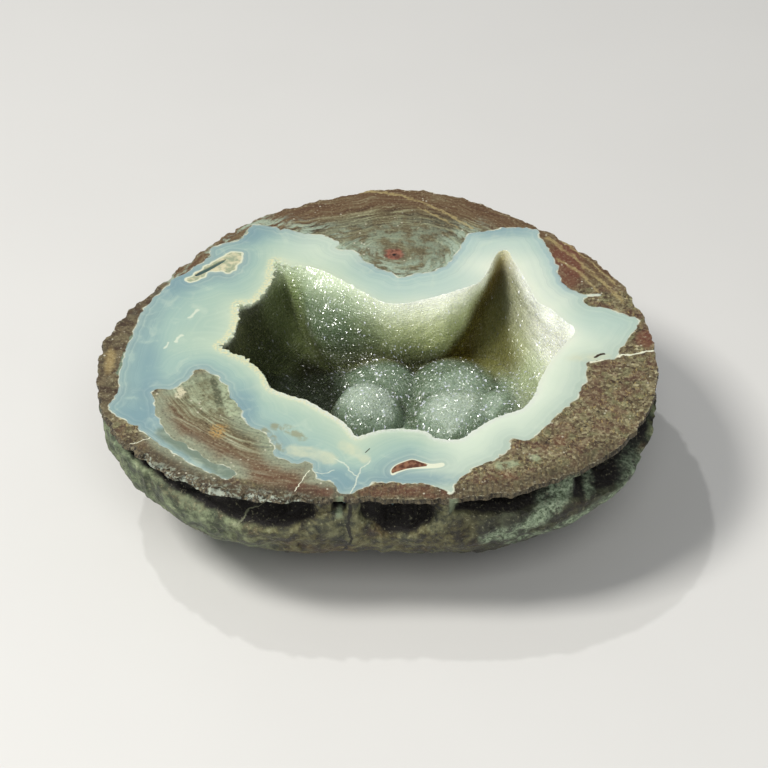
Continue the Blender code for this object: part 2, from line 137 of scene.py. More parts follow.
POCKET_CENTRE = np.array((13.0, -10.0))
POCKET_LEVELS = (
    (25.5, 0.96, 1, 0.7), (19.5, 0.915, 3, 0.25), (14, 0.81, 8, 0.15), (9.5, 0.6, 12, 0.1),
)
HOLLOW_LEVELS = (
    (0, 1, 0), (2.6, 0.985, 1), (5.8, 0.975, 2), (9, 0.955, 4), (11.8, 0.925, 8), (14, 0.865, 14),
    (15.2, 0.78, 22),
)
FLOOR_DIP = 1.0
FLOOR_DIP_WIDTH = 8.0
FLOOR_MOUNDS = (
    (-1.8, -4.4, 12, 7, 9.4), (14.4, -5.6, 10.4, 8.8, 9.8), (0.6, 5, 11.4, 8.2, 7.8),
    (8.5, -15, 9.5, 8, 7.4), (20.8, -14, 10, 8, 7.8), (14, 4.6, 11.4, 9.4, 7.6),
    (23.8, -4.6, 10.2, 8.6, 8.8),
)
WALL_MOUNDS = ((-23.5, -18.0, 20.0, 7.4), (36.0, -10.5, 20.0, 6.6))
# Along the back of the mouth, x and how far the wall's belly and its foot stand out below the cut.
WALL_BELLY = (
    (-19, 0), (-15, 1.6), (-9.5, 2.6), (-3, 1.3), (4, 1.9), (11, 2.6), (16, 1.4), (19.5, 0),
)
WALL_FOOT = (
    (-19.5, 0), (-15.5, 1), (-11, 3.4), (-7.5, 4.3), (-3.5, 2.8), (0.5, 0.6), (6, 0), (20, 0),
)
BLEND = 0.9
CRUST_THICKNESS = 1.2
CRUST_EDGE = 0.4

# The agate's own bowl ends this far under the crust's back.
UNDER_CRUST = 0.05
# The mouth's back edge lies beyond this, and its belly and foot each follow part of a wave down the wall.
BACK_FROM = 8.0
BELLY_SPAN = 16.0
FOOT_SPAN = 22.0
# Rounds of smoothing before the directions in which they stand out are taken.
NORMAL_ROUNDS = 30

# Rows of the rind's side, which lie closer above the foot of its ledge.
LEDGE_FOOT = 20.0
UPPER_ROWS = 34
LOWER_ROWS = 42
# The height from which the edge of the sawn face is chipped.
CHIPS_FROM = 29.3
# The lumps of the body fade out towards this height and towards the rest.
BODY_TOP = 27.0
BODY_EASE = 4.0
# Shares of the groove's height over which it deepens from its top edge and from its lower edge.
GROOVE_EASES = (0.14, 0.2)
PROFILE_STEPS = 400
PROFILE_ROUNDS = 60

# Height and share of the rim's size down the outside of the rind.
SIDE_PROFILE = (
    (31, 1), (29, 0.998), (27.2, 0.99), (25.4, 0.985), (22.4, 0.975), (19.4, 0.955), (15.4, 0.895),
    (10.8, 0.79), (6.2, 0.645), (2.8, 0.495), (0.8, 0.4), (0, 0.37),
)
GROOVE_TOP = 29.9
# Azimuth in degrees and the depth of the groove under the rim, which fades at each rib.
GROOVE_DEPTHS = (
    (0, 0.8), (5, 0.6), (14, 2), (40, 1.8), (49, 0.4), (60, 1.5), (90, 1.8), (115, 1.1), (124, 0.3),
    (132, 0.8), (140, 0.3), (152, 1.1), (180, 1.4), (197, 0.9), (204, 0.3), (212, 1.8), (224, 2.6),
    (234, 2.4), (243, 4), (250, 4.6), (255, 3.6), (257.5, 0.5), (260, 0.5), (261.2, 2.6), (262.4, 2.6),
    (263.4, 0.3), (266, 0.4), (268, 2.6), (271, 4.4), (277, 4.6), (281, 4), (283.5, 0.6), (286, 0.2),
    (288, 2.4), (294, 4.4), (300, 5), (306, 5), (309.5, 2.4), (314, 2.2), (318, 5.4), (328, 6), (342, 4.8),
    (352, 2.6), (360, 0.8),
)
# Azimuth in degrees and the height of the groove's lower edge.
GROOVE_FLOORS = (
    (0, 26.8), (20, 26), (45, 26.6), (70, 25.6), (100, 26.2), (124, 27.5), (150, 26), (185, 25.4),
    (204, 27), (216, 27.2), (228, 25.6), (236, 24.4), (243, 23.4), (250, 23), (256, 25), (262, 27.2),
    (265, 26.6), (268, 24.6), (273, 21.8), (277, 21.6), (281, 23.6), (284, 26.6), (288, 26.6), (294, 25.6),
    (300, 25.4), (308, 25.4), (316, 23.6), (325, 22), (336, 21.4), (346, 22.4), (353, 25), (360, 26.8),
)
# Azimuth in degrees and how far the body below the groove swells out.
SIDE_SWELLS = (
    (0, 0), (205, 0), (240, 0.7), (275, 0.8), (300, 2), (325, 1.8), (345, 0.8), (360, 0),
)
# Azimuth in degrees and how far the edge of the sawn face is broken back.
EDGE_CHIPS = (
    (0, 0.25), (60, 0.2), (130, 0.35), (175, 0.4), (210, 0.5), (222, 1.5), (250, 1.4), (258, 0.4),
    (360, 0.25),
)


# Outlines. A loop is an array of points, closed from its last point to its first.

def smoothed(loop, rounds):
    for _ in range(rounds):
        loop = loop * 0.5 + (np.roll(loop, 1, axis=0) + np.roll(loop, -1, axis=0)) * 0.25
    return loop


def shrunk(loop, share):
    return POCKET_CENTRE + (loop - POCKET_CENTRE) * share


def rounded(loop, steps):
    """The closed smooth curve through a loop, with a number of points for each of its own."""
    loop = np.array(loop)
    before, after, beyond = np.roll(loop, 1, axis=0), np.roll(loop, -1, axis=0), np.roll(loop, -2, axis=0)
    out = np.empty((len(loop), steps, loop.shape[1]))
    for step in range(steps):
        t = step / steps
        out[:, step] = 0.5 * (
            2 * loop + (after - before) * t + (2 * before - 5 * loop + 4 * after - beyond) * t * t
            + (3 * loop - before - 3 * after + beyond) * t ** 3
        )
    return out.reshape(-1, loop.shape[1])


def respaced(loop, spacing):
    """The loop with points at even steps along it."""
    closed = np.vstack([loop, loop[:1]])
    along = np.concatenate([[0.0], np.cumsum(np.hypot(*np.diff(closed, axis=0).T))])
    stations = np.arange(0.0, along[-1], along[-1] / round(along[-1] / spacing))
    return np.column_stack([np.interp(stations, along, closed[:, axis]) for axis in (0, 1)])


def unit(rows):
    return rows / np.linalg.norm(rows, axis=1)[:, None]


def beside(steps, loop):
    """The unit normals of steps along a loop, pointing out of it whichever way it runs."""
    turn = np.sign(np.sum(loop[:, 0] * np.roll(loop[:, 1], -1) - loop[:, 1] * np.roll(loop[:, 0], -1)))
    return unit(np.column_stack([steps[:, 1], -steps[:, 0]]) * turn)


def outward(loop):
    """The unit normals at the points of a loop."""
    return beside(np.roll(loop, -1, axis=0) - np.roll(loop, 1, axis=0), loop)


def offset_loop(loop, distance):
    """The loop moved outwards, with a corner's reach held to twice the distance."""
    first = beside(loop - np.roll(loop, 1, axis=0), loop)
    middle = unit(first + beside(np.roll(loop, -1, axis=0) - loop, loop))
    cosine = np.maximum(np.sum(middle * first, axis=1), 0.5)
    return loop + middle * distance / cosine[:, None]


def distance_to(points, loop):
    """How far each point is from a loop."""
    along = np.roll(loop, -1, axis=0) - loop
    squared = np.maximum(np.sum(along * along, axis=1), 1e-9)
    best = np.empty(len(points))
    for first in range(0, len(points), AT_ONCE):
        chunk = points[first:first + AT_ONCE, None, :] - loop[None]
        share = np.clip(np.sum(chunk * along[None], axis=2) / squared, 0.0, 1.0)
        gap = chunk - share[..., None] * along[None]
        best[first:first + AT_ONCE] = np.sqrt(np.min(np.sum(gap * gap, axis=2), axis=1))
    return best


def within(points, loop):
    """Whether each point lies in the loop."""
    ends = np.roll(loop, -1, axis=0)
    odd = np.empty(len(points), bool)
    for first in range(0, len(points), AT_ONCE):
        x, y = points[first:first + AT_ONCE].T[:, :, None]
        spans = (loop[:, 1][None] > y) != (ends[:, 1][None] > y)
        rise = np.where(np.abs(ends[:, 1] - loop[:, 1]) < 1e-12, 1e-12, ends[:, 1] - loop[:, 1])
        crossing = loop[:, 0] + (ends[:, 0] - loop[:, 0]) * (y - loop[:, 1]) / rise
        odd[first:first + AT_ONCE] = np.sum(spans & (x < crossing), axis=1) % 2 == 1
    return odd


def signed_distance(points, loop):
    """Distance to the loop, negative inside it."""
    return np.where(within(points, loop), -1.0, 1.0) * distance_to(points, loop)


def wander(loop, reach, size, seed):
    """The loop with small wanders sideways, as a grown or broken edge has."""
    shifts = [noise.noise(Vector((x / size, y / size, seed))) for x, y in loop]
    return loop + outward(loop) * np.array(shifts)[:, None] * reach


def table(rows, at):
    """Values at places in a table of (place, value), eased from row to row."""
    places, values = np.array(rows, float).T
    row = np.clip(np.searchsorted(places, at, side="right") - 1, 0, len(places) - 2)
    t = np.clip((at - places[row]) / (places[row + 1] - places[row]), 0.0, 1.0)
    return values[row] + (values[row + 1] - values[row]) * t * t * (3 - 2 * t)


def jitter(seed, reach, shape):
    return np.random.default_rng(seed).uniform(-reach, reach, shape)


# Meshes.

def ring(bm, points, height=None):
    """Vertices of a loop in order, at a height or at the points' own."""
    if height is not None:
        points = np.column_stack([points, np.full(len(points), height)])
    return [bm.verts.new(point * MM) for point in points]


def tube(bm, rings):
    """Faces from each ring of vertices to the next."""
    faces = []
    for first, second in zip(rings, rings[1:]):
        for i, vert in enumerate(first):
            j = (i + 1) % len(first)
            faces.append(bm.faces.new((vert, first[j], second[j], second[i])))
    return faces


def staggered(low, high, cell):
    """Staggered rows of points over a rectangle."""
    rows = np.arange(low[1], high[1], cell * math.sqrt(3.0) / 2.0)
    x, y = np.meshgrid(np.arange(low[0], high[0], cell), rows)
    x = x + 0.5 * cell * (np.arange(len(rows)) % 2)[:, None]
    return np.column_stack([x.ravel(), y.ravel()])


def between(points, loops):
    """Whether each point lies in the first loop and in none of the others."""
    clear = within(points, loops[0])
    for hole in loops[1:]:
        clear &= ~within(points, hole)
    return clear


def sheet_over(bm, rings, marks, cell, height, shake=0.0):
    """Triangles over the region inside the first ring of vertices and outside the others.

    Marks are extra loops that the triangles follow. The height is a number or a function of points.
    """
    loops = [np.array([vert.co[:2] for vert in verts]) / MM for verts in rings]
    fixed = loops + marks
    grid = staggered(loops[0].min(axis=0), loops[0].max(axis=0), cell)
    grid = grid + jitter(SEED, shake, grid.shape)
    grid = grid[between(grid, loops)]
    for line in fixed:
        grid = grid[distance_to(grid, line) > CLEAR_OF_LINES * cell]
    edges = []
    start = 0
    for line in fixed:
        count = len(line)
        edges += [(start + i, start + (i + 1) % count) for i in range(count)]
        start += count
    corners = [Vector(point) for point in np.vstack(fixed + [grid])]
    flat, _, cells, sources, _, _ = delaunay_2d_cdt(corners, edges, [], 0, 1e-7)
    flat = np.array([point[:] for point in flat])
    known = [vert for verts in rings for vert in verts]
    heights = height(flat) if callable(height) else np.full(len(flat), height)
    verts = []
    for (x, y), z, source in zip(flat, heights, sources):
        from_ring = [index for index in source if index < len(known)]
        verts.append(known[from_ring[0]] if from_ring else bm.verts.new((x * MM, y * MM, z * MM)))
    middles = np.array([flat[list(face)].mean(axis=0) for face in cells])
    faces = []
    for face, wanted in zip(cells, between(middles, loops)):
        corners_of = [verts[i] for i in face]
        if wanted and len(set(corners_of)) == 3:
            faces.append(bm.faces.new(corners_of))
    return faces


def mesh_of(bm, name):
    mesh = bpy.data.meshes.new(name)
    bm.to_mesh(mesh)
    return mesh


def added(name, data):
    thing = bpy.data.objects.new(name, data)
    bpy.context.scene.collection.objects.link(thing)
    return thing


def note(mesh, name, values):
    """Keeps a number at each vertex for the materials to read."""
    attribute = mesh.attributes.new(name, "FLOAT", "POINT")
    attribute.data.foreach_set("value", np.asarray(values, np.float32))


def finish_piece(bm, name, node, materials, lines, sharp=32):
    """Makes a piece from its mesh, which keeps how far each vertex of the sawn face is from some lines."""
    bmesh.ops.recalc_face_normals(bm, faces=bm.faces)
    mesh = mesh_of(bm, name)
    bm.free()
    for material in materials:
        mesh.materials.append(material)
    mesh.shade_smooth()
    mesh.set_sharp_from_angle(angle=math.radians(sharp))
    piece = added(name, mesh)
    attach(piece, "root")
    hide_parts(node)
    flat = np.empty(len(mesh.vertices) * 3, np.float32)
    mesh.vertices.foreach_get("co", flat)
    spots = (flat.reshape(-1, 3) / MM).astype(float)
    top = spots[:, 2] > TOP - 0.01
    for line_name, (loop, measure) in lines.items():
        values = np.full(len(spots), FAR_FROM_LINES)
        values[top] = measure(spots[top, :2], loop)
        note(mesh, line_name, values)


# The lines on the sawn face that the pieces share.

rim_line = respaced(rounded(RIM, RIM_STEPS), RIM_SPACING)
rim_line = wander(rim_line, 0.55, 2.6, 3.0)
rim_line = wander(rim_line, 0.30, 0.9, 9.0)
contact_line = rounded(STAR + TONGUE, STAR_STEPS)
contact_line = wander(wander(contact_line, 0.7, 1.9, 5.0), 0.35, 0.6, 8.0)
mouth_line = rounded(MOUTH, MOUTH_STEPS)
crust_line = rounded(offset_loop(np.array(MOUTH), CRUST_EDGE), MOUTH_STEPS)
island_line = rounded(ISLAND, PATCH_STEPS)
patch_line = wander(rounded(PATCH, PATCH_STEPS), 0.5, 1.1, 4.0)
slit_line = rounded(SLIT, PATCH_STEPS)

ROCK_LINES = {"from_contact": (contact_line, distance_to), "from_rim": (rim_line, distance_to)}
AGATE_LINES = {
    "from_contact": (contact_line, distance_to), "from_mouth": (mouth_line, distance_to),
    "from_island": (island_line, signed_distance), "from_patch": (patch_line, signed_distance),
}


# The lining of the hollow.

def eased(short):
    return np.where(short > BLEND, short, np.where(short > -BLEND, (short + BLEND) ** 2 / (4 * BLEND), 0.0))


def lifted(points):
    """Points of the lining, moved sideways off the walls' swellings and up onto the mounds."""
    points = points.copy()
    for x, y, z, radius in WALL_MOUNDS:
        rise = points[:, 2] - z
        away = points[:, :2] - (x, y)
        length = np.maximum(np.linalg.norm(away, axis=1), 1e-6)
        short = np.sqrt(np.maximum(radius * radius - rise * rise, 0.0)) - length
        push = np.where(np.abs(rise) < radius, eased(short), 0.0)
        points[:, :2] += away / length[:, None] * push[:, None]
    for x, y, base, radius, rise in FLOOR_MOUNDS:
        across = np.hypot(points[:, 0] - x, points[:, 1] - y) / radius
        crown = base + rise * np.sqrt(np.maximum(1.0 - across * across, 0.0))
        points[:, 2] += np.where(across < 1.0, eased(crown - points[:, 2]), 0.0)
    return points


def wall_points(row_count):
    """The hollow's wall as rows of stations, the mouth first, each station's points evenly spaced."""
    depths = [level[0] for level in HOLLOW_LEVELS]
    shapes = [
        rounded(shrunk(smoothed(np.array(MOUTH), rounds), share), MOUTH_STEPS)
        for _, share, rounds in HOLLOW_LEVELS
    ]
    into = -outward(smoothed(shapes[0], NORMAL_ROUNDS))
    x, y = shapes[0].T
    belly, foot = (table(rows, x) * (y > BACK_FROM) for rows in (WALL_BELLY, WALL_FOOT))
    loops = []
    for depth in np.linspace(0.0, depths[-1], TRACED_DEPTHS):
        level = min(np.searchsorted(depths, depth, side="right") - 1, len(depths) - 2)
        t = (depth - depths[level]) / (depths[level + 1] - depths[level])
        flat = shapes[level] * (1.0 - t) + shapes[level + 1] * t
        out = belly * math.sin(math.pi * depth / BELLY_SPAN)
        out = out + foot * math.sin(math.pi * min(0.5, depth / FOOT_SPAN))
        flat = flat + into * out[:, None]
        points = np.column_stack([flat, np.full(len(flat), TOP - depth)])
        loops.append(lifted(points) if depth else points)
    grid = np.array(loops)
    steps = np.linalg.norm(np.diff(grid, axis=0), axis=2)
    along = np.vstack([np.zeros(grid.shape[1]), np.cumsum(steps, axis=0)])
    even = np.empty((row_count, grid.shape[1], 3))
    for station in range(grid.shape[1]):
        at = np.linspace(0.0, along[-1, station], row_count)
        for axis in range(3):
            even[:, station, axis] = np.interp(at, along[:, station], grid[:, station, axis])
    return even


def floor_over(edge):
    """The height of the floor, with its mounds, at points inside its edge."""
    def height(points):
        dip = FLOOR_DIP * np.minimum(1.0, distance_to(points, edge) / FLOOR_DIP_WIDTH)
        return lifted(np.column_stack([points, TOP - HOLLOW_LEVELS[-1][0] - dip]))[:, 2]
    return height


def lining(bm, behind, rows, cell, top_line, shake=0.0):
    """The hollow's surface, moved back into the stone. Returns its top ring and its faces."""
    grid = wall_points(rows)
    if shake:
        grid[1:-1:2] = (grid[1:-1:2] + np.roll(grid, -1, axis=1)[1:-1:2]) * 0.5
        side = np.roll(grid, -1, axis=1)[1:-1] - grid[1:-1]
        down = grid[2:] - grid[1:-1]
        aside, lower = (jitter(SEED + i, shake, (*side.shape[:2], 1)) for i in (1, 2))
        grid[1:-1] += side * aside + down * lower
    rings = [ring(bm, row) for row in grid]
    faces = tube(bm, rings)
    floor = sheet_over(bm, rings[-1:], [], cell, floor_over(grid[-1][:, :2]), shake * cell)
    faces += floor
    bmesh.ops.recalc_face_normals(bm, faces=faces)
    bm.normal_update()
    if sum(face.normal.z for face in floor) < 0.0:
        bmesh.ops.reverse_faces(bm, faces=faces)
        bm.normal_update()
    below = {vert for face in faces for vert in face.verts} - set(rings[0])
    for vert, normal in [(vert, vert.normal.copy()) for vert in below]:
        vert.co -= normal * behind * MM
    for vert, point in zip(rings[0], top_line):
        vert.co = Vector((*point, TOP)) * MM
    return rings[0], faces


# Pieces.

def contact_rings(bm):
    """The contact of agate and rhyolite, from the sawn face down to the pocket's floor."""
    root = np.array(TONGUE_ROOT)
    rings = [ring(bm, contact_line, TOP)]
    for height, share, rounds, reach in POCKET_LEVELS:
        outline = np.vstack([STAR, root + (np.array(TONGUE) - root) * reach])
        rings.append(ring(bm, rounded(shrunk(smoothed(outline, rounds), share), STAR_STEPS), height))
    tube(bm, rings)
    floor_edges = {edge for vert in rings[-1] for edge in vert.link_edges if edge.is_boundary}
    bmesh.ops.triangle_fill(bm, use_beauty=True, edges=list(floor_edges), normal=(0.0, 0.0, 1.0))
    return rings[0]


def share_of(value):
    return min(1.0, max(0.0, value))


def side_grid():
    """Points of the rind's outside by row and station, and how deep in the groove each one is."""
    upper = np.linspace(TOP, LEDGE_FOOT, UPPER_ROWS)
    heights = np.concatenate([upper, np.linspace(LEDGE_FOOT, 0.0, LOWER_ROWS)[1:]])
    fine = np.linspace(0.0, TOP, PROFILE_STEPS)
    shares = np.interp(fine, *np.array(SIDE_PROFILE)[::-1].T)
    for _ in range(PROFILE_ROUNDS):
        shares[1:-1] = shares[1:-1] * 0.5 + (shares[2:] + shares[:-2]) * 0.25
    normal = outward(smoothed(rim_line, 8))
    azimuth = np.degrees(np.arctan2(rim_line[:, 1], rim_line[:, 0])) % 360.0
    deep, low, swell, chip = (
        table(rows, azimuth) for rows in (GROOVE_DEPTHS, GROOVE_FLOORS, SIDE_SWELLS, EDGE_CHIPS)
    )
    ragged = np.array([noise.noise(Vector((x / 1.3, y / 1.3, 4.0))) for x, y in rim_line])
    grid, hollows = [], []
    for height in heights:
        points = rim_line * np.interp(height, fine, shares)
        sunk = (GROOVE_TOP - height) / (GROOVE_TOP - low)
        scoop = np.clip(sunk / GROOVE_EASES[0], 0.0, 1.0) * np.clip((1.0 - sunk) / GROOVE_EASES[1], 0.0, 1.0)
        scoop = scoop * scoop * (3.0 - 2.0 * scoop)
        body = share_of((BODY_TOP - height) / BODY_EASE) * min(1.0, height / BODY_EASE)
        lean = share_of((height - CHIPS_FROM) / (TOP - CHIPS_FROM))
        out, broken = np.empty(len(points)), np.empty(len(points))
        for i, (x, y) in enumerate(points):
            here = Vector((x, y, height))
            lump = 1.9 * noise.noise(here / 9.5)
            knob = 1.2 * noise.noise(here / 3.4 + Vector((7.0, 0.0, 0.0)))
            grit = 0.45 * noise.noise(here / 1.2 + Vector((0.0, 9.0, 0.0)))
            rough = (lump + 0.6 * knob) * body + (0.4 * knob + grit) * min(1.0, height / 2.0)
            out[i] = 0.4 * rough if rough > 0.0 else 0.75 * rough
            bite = noise.noise(Vector((x / 2.1, y / 2.1, height / 1.1)))
            nick = noise.noise(Vector((x / 0.8, y / 0.8, height / 0.5)))
            broken[i] = 0.55 + 1.5 * bite + 0.7 * nick
        edge = np.clip(lean * 1.6, 0.0, 1.0)
        bitten = edge * chip * np.clip(broken, 0.0, 1.6) * (0.35 + 0.65 * lean)
        hollow = scoop * deep * (1.0 + 0.25 * ragged)
        flat = points + normal * (out * (1.0 - edge) + swell * body - bitten - hollow)[:, None]
        grid.append(np.column_stack([flat, np.full(len(flat), height)]))
        hollows.append(hollow)
    return grid, hollows


def make_rind(materials):
    bm = bmesh.new()
    sunk = bm.verts.layers.float.new("sunk")
    grid, hollows = side_grid()
    rings = [ring(bm, row) for row in grid]
    for verts, row in zip(rings, hollows):
        for vert, value in zip(verts, row):
            vert[sunk] = value
    for face in tube(bm, rings) + [bm.faces.new(rings[-1])]:
        face.material_index = 1
    sheet_over(bm, [rings[0], contact_rings(bm)], [], RIND_CELL, TOP)
    finish_piece(bm, "rind_stone", "rock_rind", materials, ROCK_LINES)


def make_agate(materials):
    bm = bmesh.new()
    contact = contact_rings(bm)
    mouth, _ = lining(bm, CRUST_THICKNESS + UNDER_CRUST, BACK_ROWS, BACK_CELL, crust_line)
    slit = [ring(bm, slit_line, height) for height in (TOP, TOP - SLIT_DEPTH)]
    tube(bm, slit)
    bm.faces.new(slit[1])
    sheet_over(bm, [contact, mouth, slit[0]], [island_line, patch_line], AGATE_CELL, TOP)
    finish_piece(bm, "agate_face", "agate_band", materials, AGATE_LINES)


def openness(mesh):
    """How much of the sky above each vertex is free, from short looks round it."""
    corners = [face.vertices for face in mesh.polygons]
    tree = BVHTree.FromPolygons([vert.co for vert in mesh.vertices], corners)
    # The looks go round from just above level to nearly straight up.
    looks = []
    for i in range(LOOKS):
        height = 0.12 + 0.85 * (i + 0.5) / LOOKS
        turn = i * GOLDEN_ANGLE
        across = math.sqrt(1.0 - height * height)
        looks.append(Vector((across * math.cos(turn), across * math.sin(turn), height)))
    free = np.empty(len(mesh.vertices))
    for vert in mesh.vertices:
        start = vert.co + vert.normal * 0.7 * MM + Vector((0.0, 0.0, 0.1 * MM))
        blocked = sum(tree.ray_cast(start, look, LOOK_LENGTH * MM)[0] is not None for look in looks)
        free[vert.index] = 1.0 - blocked / LOOKS
    return free


def crystal_height(point, chance):
    """How far a crystal stands out of the crust at a place, and whether it's a tall one."""
    x, y, depth = point.x / MM, point.y / MM, TOP - point.z / MM
    fine = 0.05 + 0.04 * min(1.0, depth / 8.0)
    if y < 10.0 and depth > 9.0:
        fine = 0.12
    if x < -14.0:
        fine = 0.16
    floor = depth > 8.0 and x > -9.0 and y < 8.0
    lobe = depth < 8.0 and -9.5 < x < 1.5 and y > 8.0
    if chance.random() < (0.07 if floor else 0.04 if lobe else 0.008):
        return fine * 2.0, True
    return fine * chance.uniform(0.5, 1.5), False


def make_druse(materials):
    chance = random.Random(SEED)
    bm = bmesh.new()
    open_sky = bm.verts.layers.float.new("open_sky")
    tone_and_glint = bm.faces.layers.float.new("tone_and_glint")
    back, _ = lining(bm, CRUST_THICKNESS, BACK_ROWS, BACK_CELL, crust_line)
    # The crust's edge has teeth at the left of the mouth and is nearly smooth elsewhere.
    left = (mouth_line[:, :1] < -13.0) & (mouth_line[:, 1:] > -8.0)
    inner = mouth_line - outward(mouth_line) * 0.35
    toothed = np.where(left, wander(inner, 1.2, 0.62, 2.0), wander(mouth_line, 0.25, 0.7, 2.0))
    front, faces = lining(bm, 0.0, FRONT_ROWS, FRONT_CELL, toothed, SHAKE)
    for vert in {vert for face in faces for vert in face.verts} - set(front):
        here = vert.co / MM
        swell = 0.32 * noise.noise(here / 5.5) + 0.16 * noise.noise(here / 1.6)
        reach = min(1.0, (TOP - here.z) / 2.0)
        vert.co += vert.normal * swell * reach * MM
    for face in tube(bm, [front, back]):
        face.material_index = 1
    bm.normal_update()
    bm.verts.index_update()
    look = mesh_of(bm, "crust_before_crystals")
    free = openness(look)
    bpy.data.meshes.remove(look)
    for vert in bm.verts:
        vert[open_sky] = free[vert.index]
    heights, tall = np.array([crystal_height(face.calc_center_median(), chance) for face in faces]).T
    edges = np.quantile(heights, np.linspace(0.0, 1.0, CRYSTAL_SIZES + 1)[1:-1])
    sizes = np.where(tall > 0, CRYSTAL_SIZES, np.searchsorted(edges, heights))
    for size in range(CRYSTAL_SIZES + 1):
        grown = [face for face, own in zip(faces, sizes) if own == size]
        offset = float(heights[sizes == size].mean())
        made = bmesh.ops.poke(bm, faces=grown, offset=offset * MM, center_mode="MEAN")
        for tip in made["verts"]:
            around = [edge.other_vert(tip)[open_sky] for edge in tip.link_edges]
            tip[open_sky] = sum(around) / len(around)
            tip.co += Vector([chance.uniform(-0.08, 0.08) * MM for _ in range(3)])
            # Tall crystals get a tone near 1 on half of their faces, which the druse material paints nearly
            # white as painted glints.
            crystal_tone_and_glint = chance.random() * 0.85 if size < CRYSTAL_SIZES else 1.0 - 0.1 * chance.random()
            for side in tip.link_faces:
                side[tone_and_glint] = crystal_tone_and_glint if size < CRYSTAL_SIZES or chance.random() < 0.5 else 0.5
    finish_piece(bm, "druse_lining", "crystal_crust", materials, AGATE_LINES, 12)


# Materials. Colours are as seen on a screen, 0 to 255, and places are in millimetres.

class Wire:
    """A node's output, with arithmetic that adds math nodes to the material in hand."""

    tree = None

    def __init__(self, socket):
        self.socket = socket

    def __add__(self, other):
        return calc("ADD", self, other)

    def __sub__(self, other):
        return calc("SUBTRACT", self, other)

    def __rsub__(self, other):
        return calc("SUBTRACT", other, self)

    def __mul__(self, other):
        return calc("MULTIPLY", self, other)

    def __truediv__(self, other):
        return calc("DIVIDE", self, other)

    def __abs__(self):
        return calc("ABSOLUTE", self)


def paint(red, green, blue):
    return tuple(((c / 255.0 + 0.055) / 1.055) ** 2.4 if c > 10 else c / 3294.6 for c in (red, green, blue))


def new_material(name):
    material = bpy.data.materials.new(name)
    material.use_nodes = True
    Wire.tree = material.node_tree
    return material, Wire.tree.nodes["Principled BSDF"], place_in_mm()


def feed(value, socket):
    """Sets a socket to a number, a place or a colour, or links it to another node's output."""
    if isinstance(value, Wire):
        Wire.tree.links.new(value.socket, socket)
    elif socket.type == "RGBA":
        socket.default_value = (*paint(*value), 1.0)
    else:
        socket.default_value = value


def put(kind, inputs, output=0, **settings):
    """A new node with its settings and inputs. Returns one of its outputs."""
    node = Wire.tree.nodes.new(kind)
    for name, setting in settings.items():
        setattr(node, name, setting)
    for name, value in inputs.items():
        feed(value, node.inputs[name])
    return Wire(node.outputs[output])


def calc(operation, first, second=0.0, third=0.0):
    return put("ShaderNodeMath", {0: first, 1: second, 2: third}, operation=operation)


def scaled(value, share, base):
    """Value times share, plus base."""
    return calc("MULTIPLY_ADD", value, share, base)


def lowest(first, second):
    return calc("MINIMUM", first, second)


def highest(*values):
    out = values[0]
    for value in values[1:]:
        out = calc("MAXIMUM", out, value)
    return out


def shift(operation, first, second=(0.0, 0.0, 0.0)):
    output = "Value" if operation in ("LENGTH", "DOT_PRODUCT") else 0
    return put("ShaderNodeVectorMath", {0: first, 1: second}, output, operation=operation)


def sized(place, size):
    return put("ShaderNodeVectorMath", {0: place, "Scale": size}, operation="SCALE")


def part_of(place, x, y=0.0, z=0.0):
    """How far a place lies along a direction."""
    return shift("DOT_PRODUCT", place, (x, y, z))


def stretch(value, low, high, to_low=0.0, to_high=1.0):
    """The value eased from one range to another, 0 to 1 if no other is given."""
    inputs = dict(enumerate((value, low, high, to_low, to_high)))
    return put("ShaderNodeMapRange", inputs, interpolation_type="SMOOTHSTEP")


def fade(value, low, high):
    """1 up to the low value and 0 from the high one, with an eased fall between."""
    return stretch(value, low, high, 1.0, 0.0)


def over(share, under, top):
    return put("ShaderNodeMix", {0: share, 6: under, 7: top}, 2, data_type="RGBA")


def laid(under, *coats):
    """A colour with coats over it, each with a share and a colour."""
    for share, top in coats:
        under = over(share, under, top)
    return under


def ramp(value, *stops):
    """A colour by value, from stops of a place and a colour each."""
    node = Wire.tree.nodes.new("ShaderNodeValToRGB")
    elements = node.color_ramp.elements
    while len(elements) < len(stops):
        elements.new(0.5)
    for element, (at, *colour) in zip(elements, stops):
        element.position = at
        element.color = (*paint(*colour), 1.0)
    feed(value, node.inputs[0])
    return Wire(node.outputs[0])


def attribute(name):
    return put("ShaderNodeAttribute", {}, "Fac", attribute_name=name)


def place_in_mm():
    return sized(put("ShaderNodeTexCoord", {}, "Object"), 1.0 / MM)


def stretched(place, x, y, z):
    return shift("MULTIPLY", place, (x, y, z))


def clouds(place, size, detail=3.0, roughness=0.55, distortion=0.0):
    """Noise from 0 to 1 whose largest patches are about this many millimetres."""
    inputs = {"Scale": 1.0 / size, "Detail": detail, "Roughness": roughness, "Distortion": distortion}
    return put("ShaderNodeTexNoise", {"Vector": place, **inputs}, "Fac")


def grains(place, size, output):
    return put("ShaderNodeTexVoronoi", {"Vector": place, "Scale": 1.0 / size}, output)


def aside(place, centre, x, y):
    """The way from a centre on the sawn face to each place, multiplied along x and along y."""
    return shift("MULTIPLY", shift("SUBTRACT", place, (*centre, TOP)), (x, y, 0.0))


def spot(place, centre, radii, soft=0.4):
    """1 within an ellipse on the sawn face and 0 outside it, with a soft edge."""
    away = aside(place, centre, 1.0 / radii[0], 1.0 / radii[1])
    return fade(shift("LENGTH", away), 1.0 - soft, 1.0 + soft)


def line(place, start, end, half_width, soft):
    """1 along a straight line on the sawn face."""
    along = np.array(end) - np.array(start)
    away = aside(place, start, 1.0, 1.0)
    share = put("ShaderNodeClamp", {0: part_of(away, *(along / along.dot(along)))})
    gap = shift("LENGTH", shift("SUBTRACT", away, sized((*along, 0.0), share)))
    return fade(gap, half_width, half_width + soft)


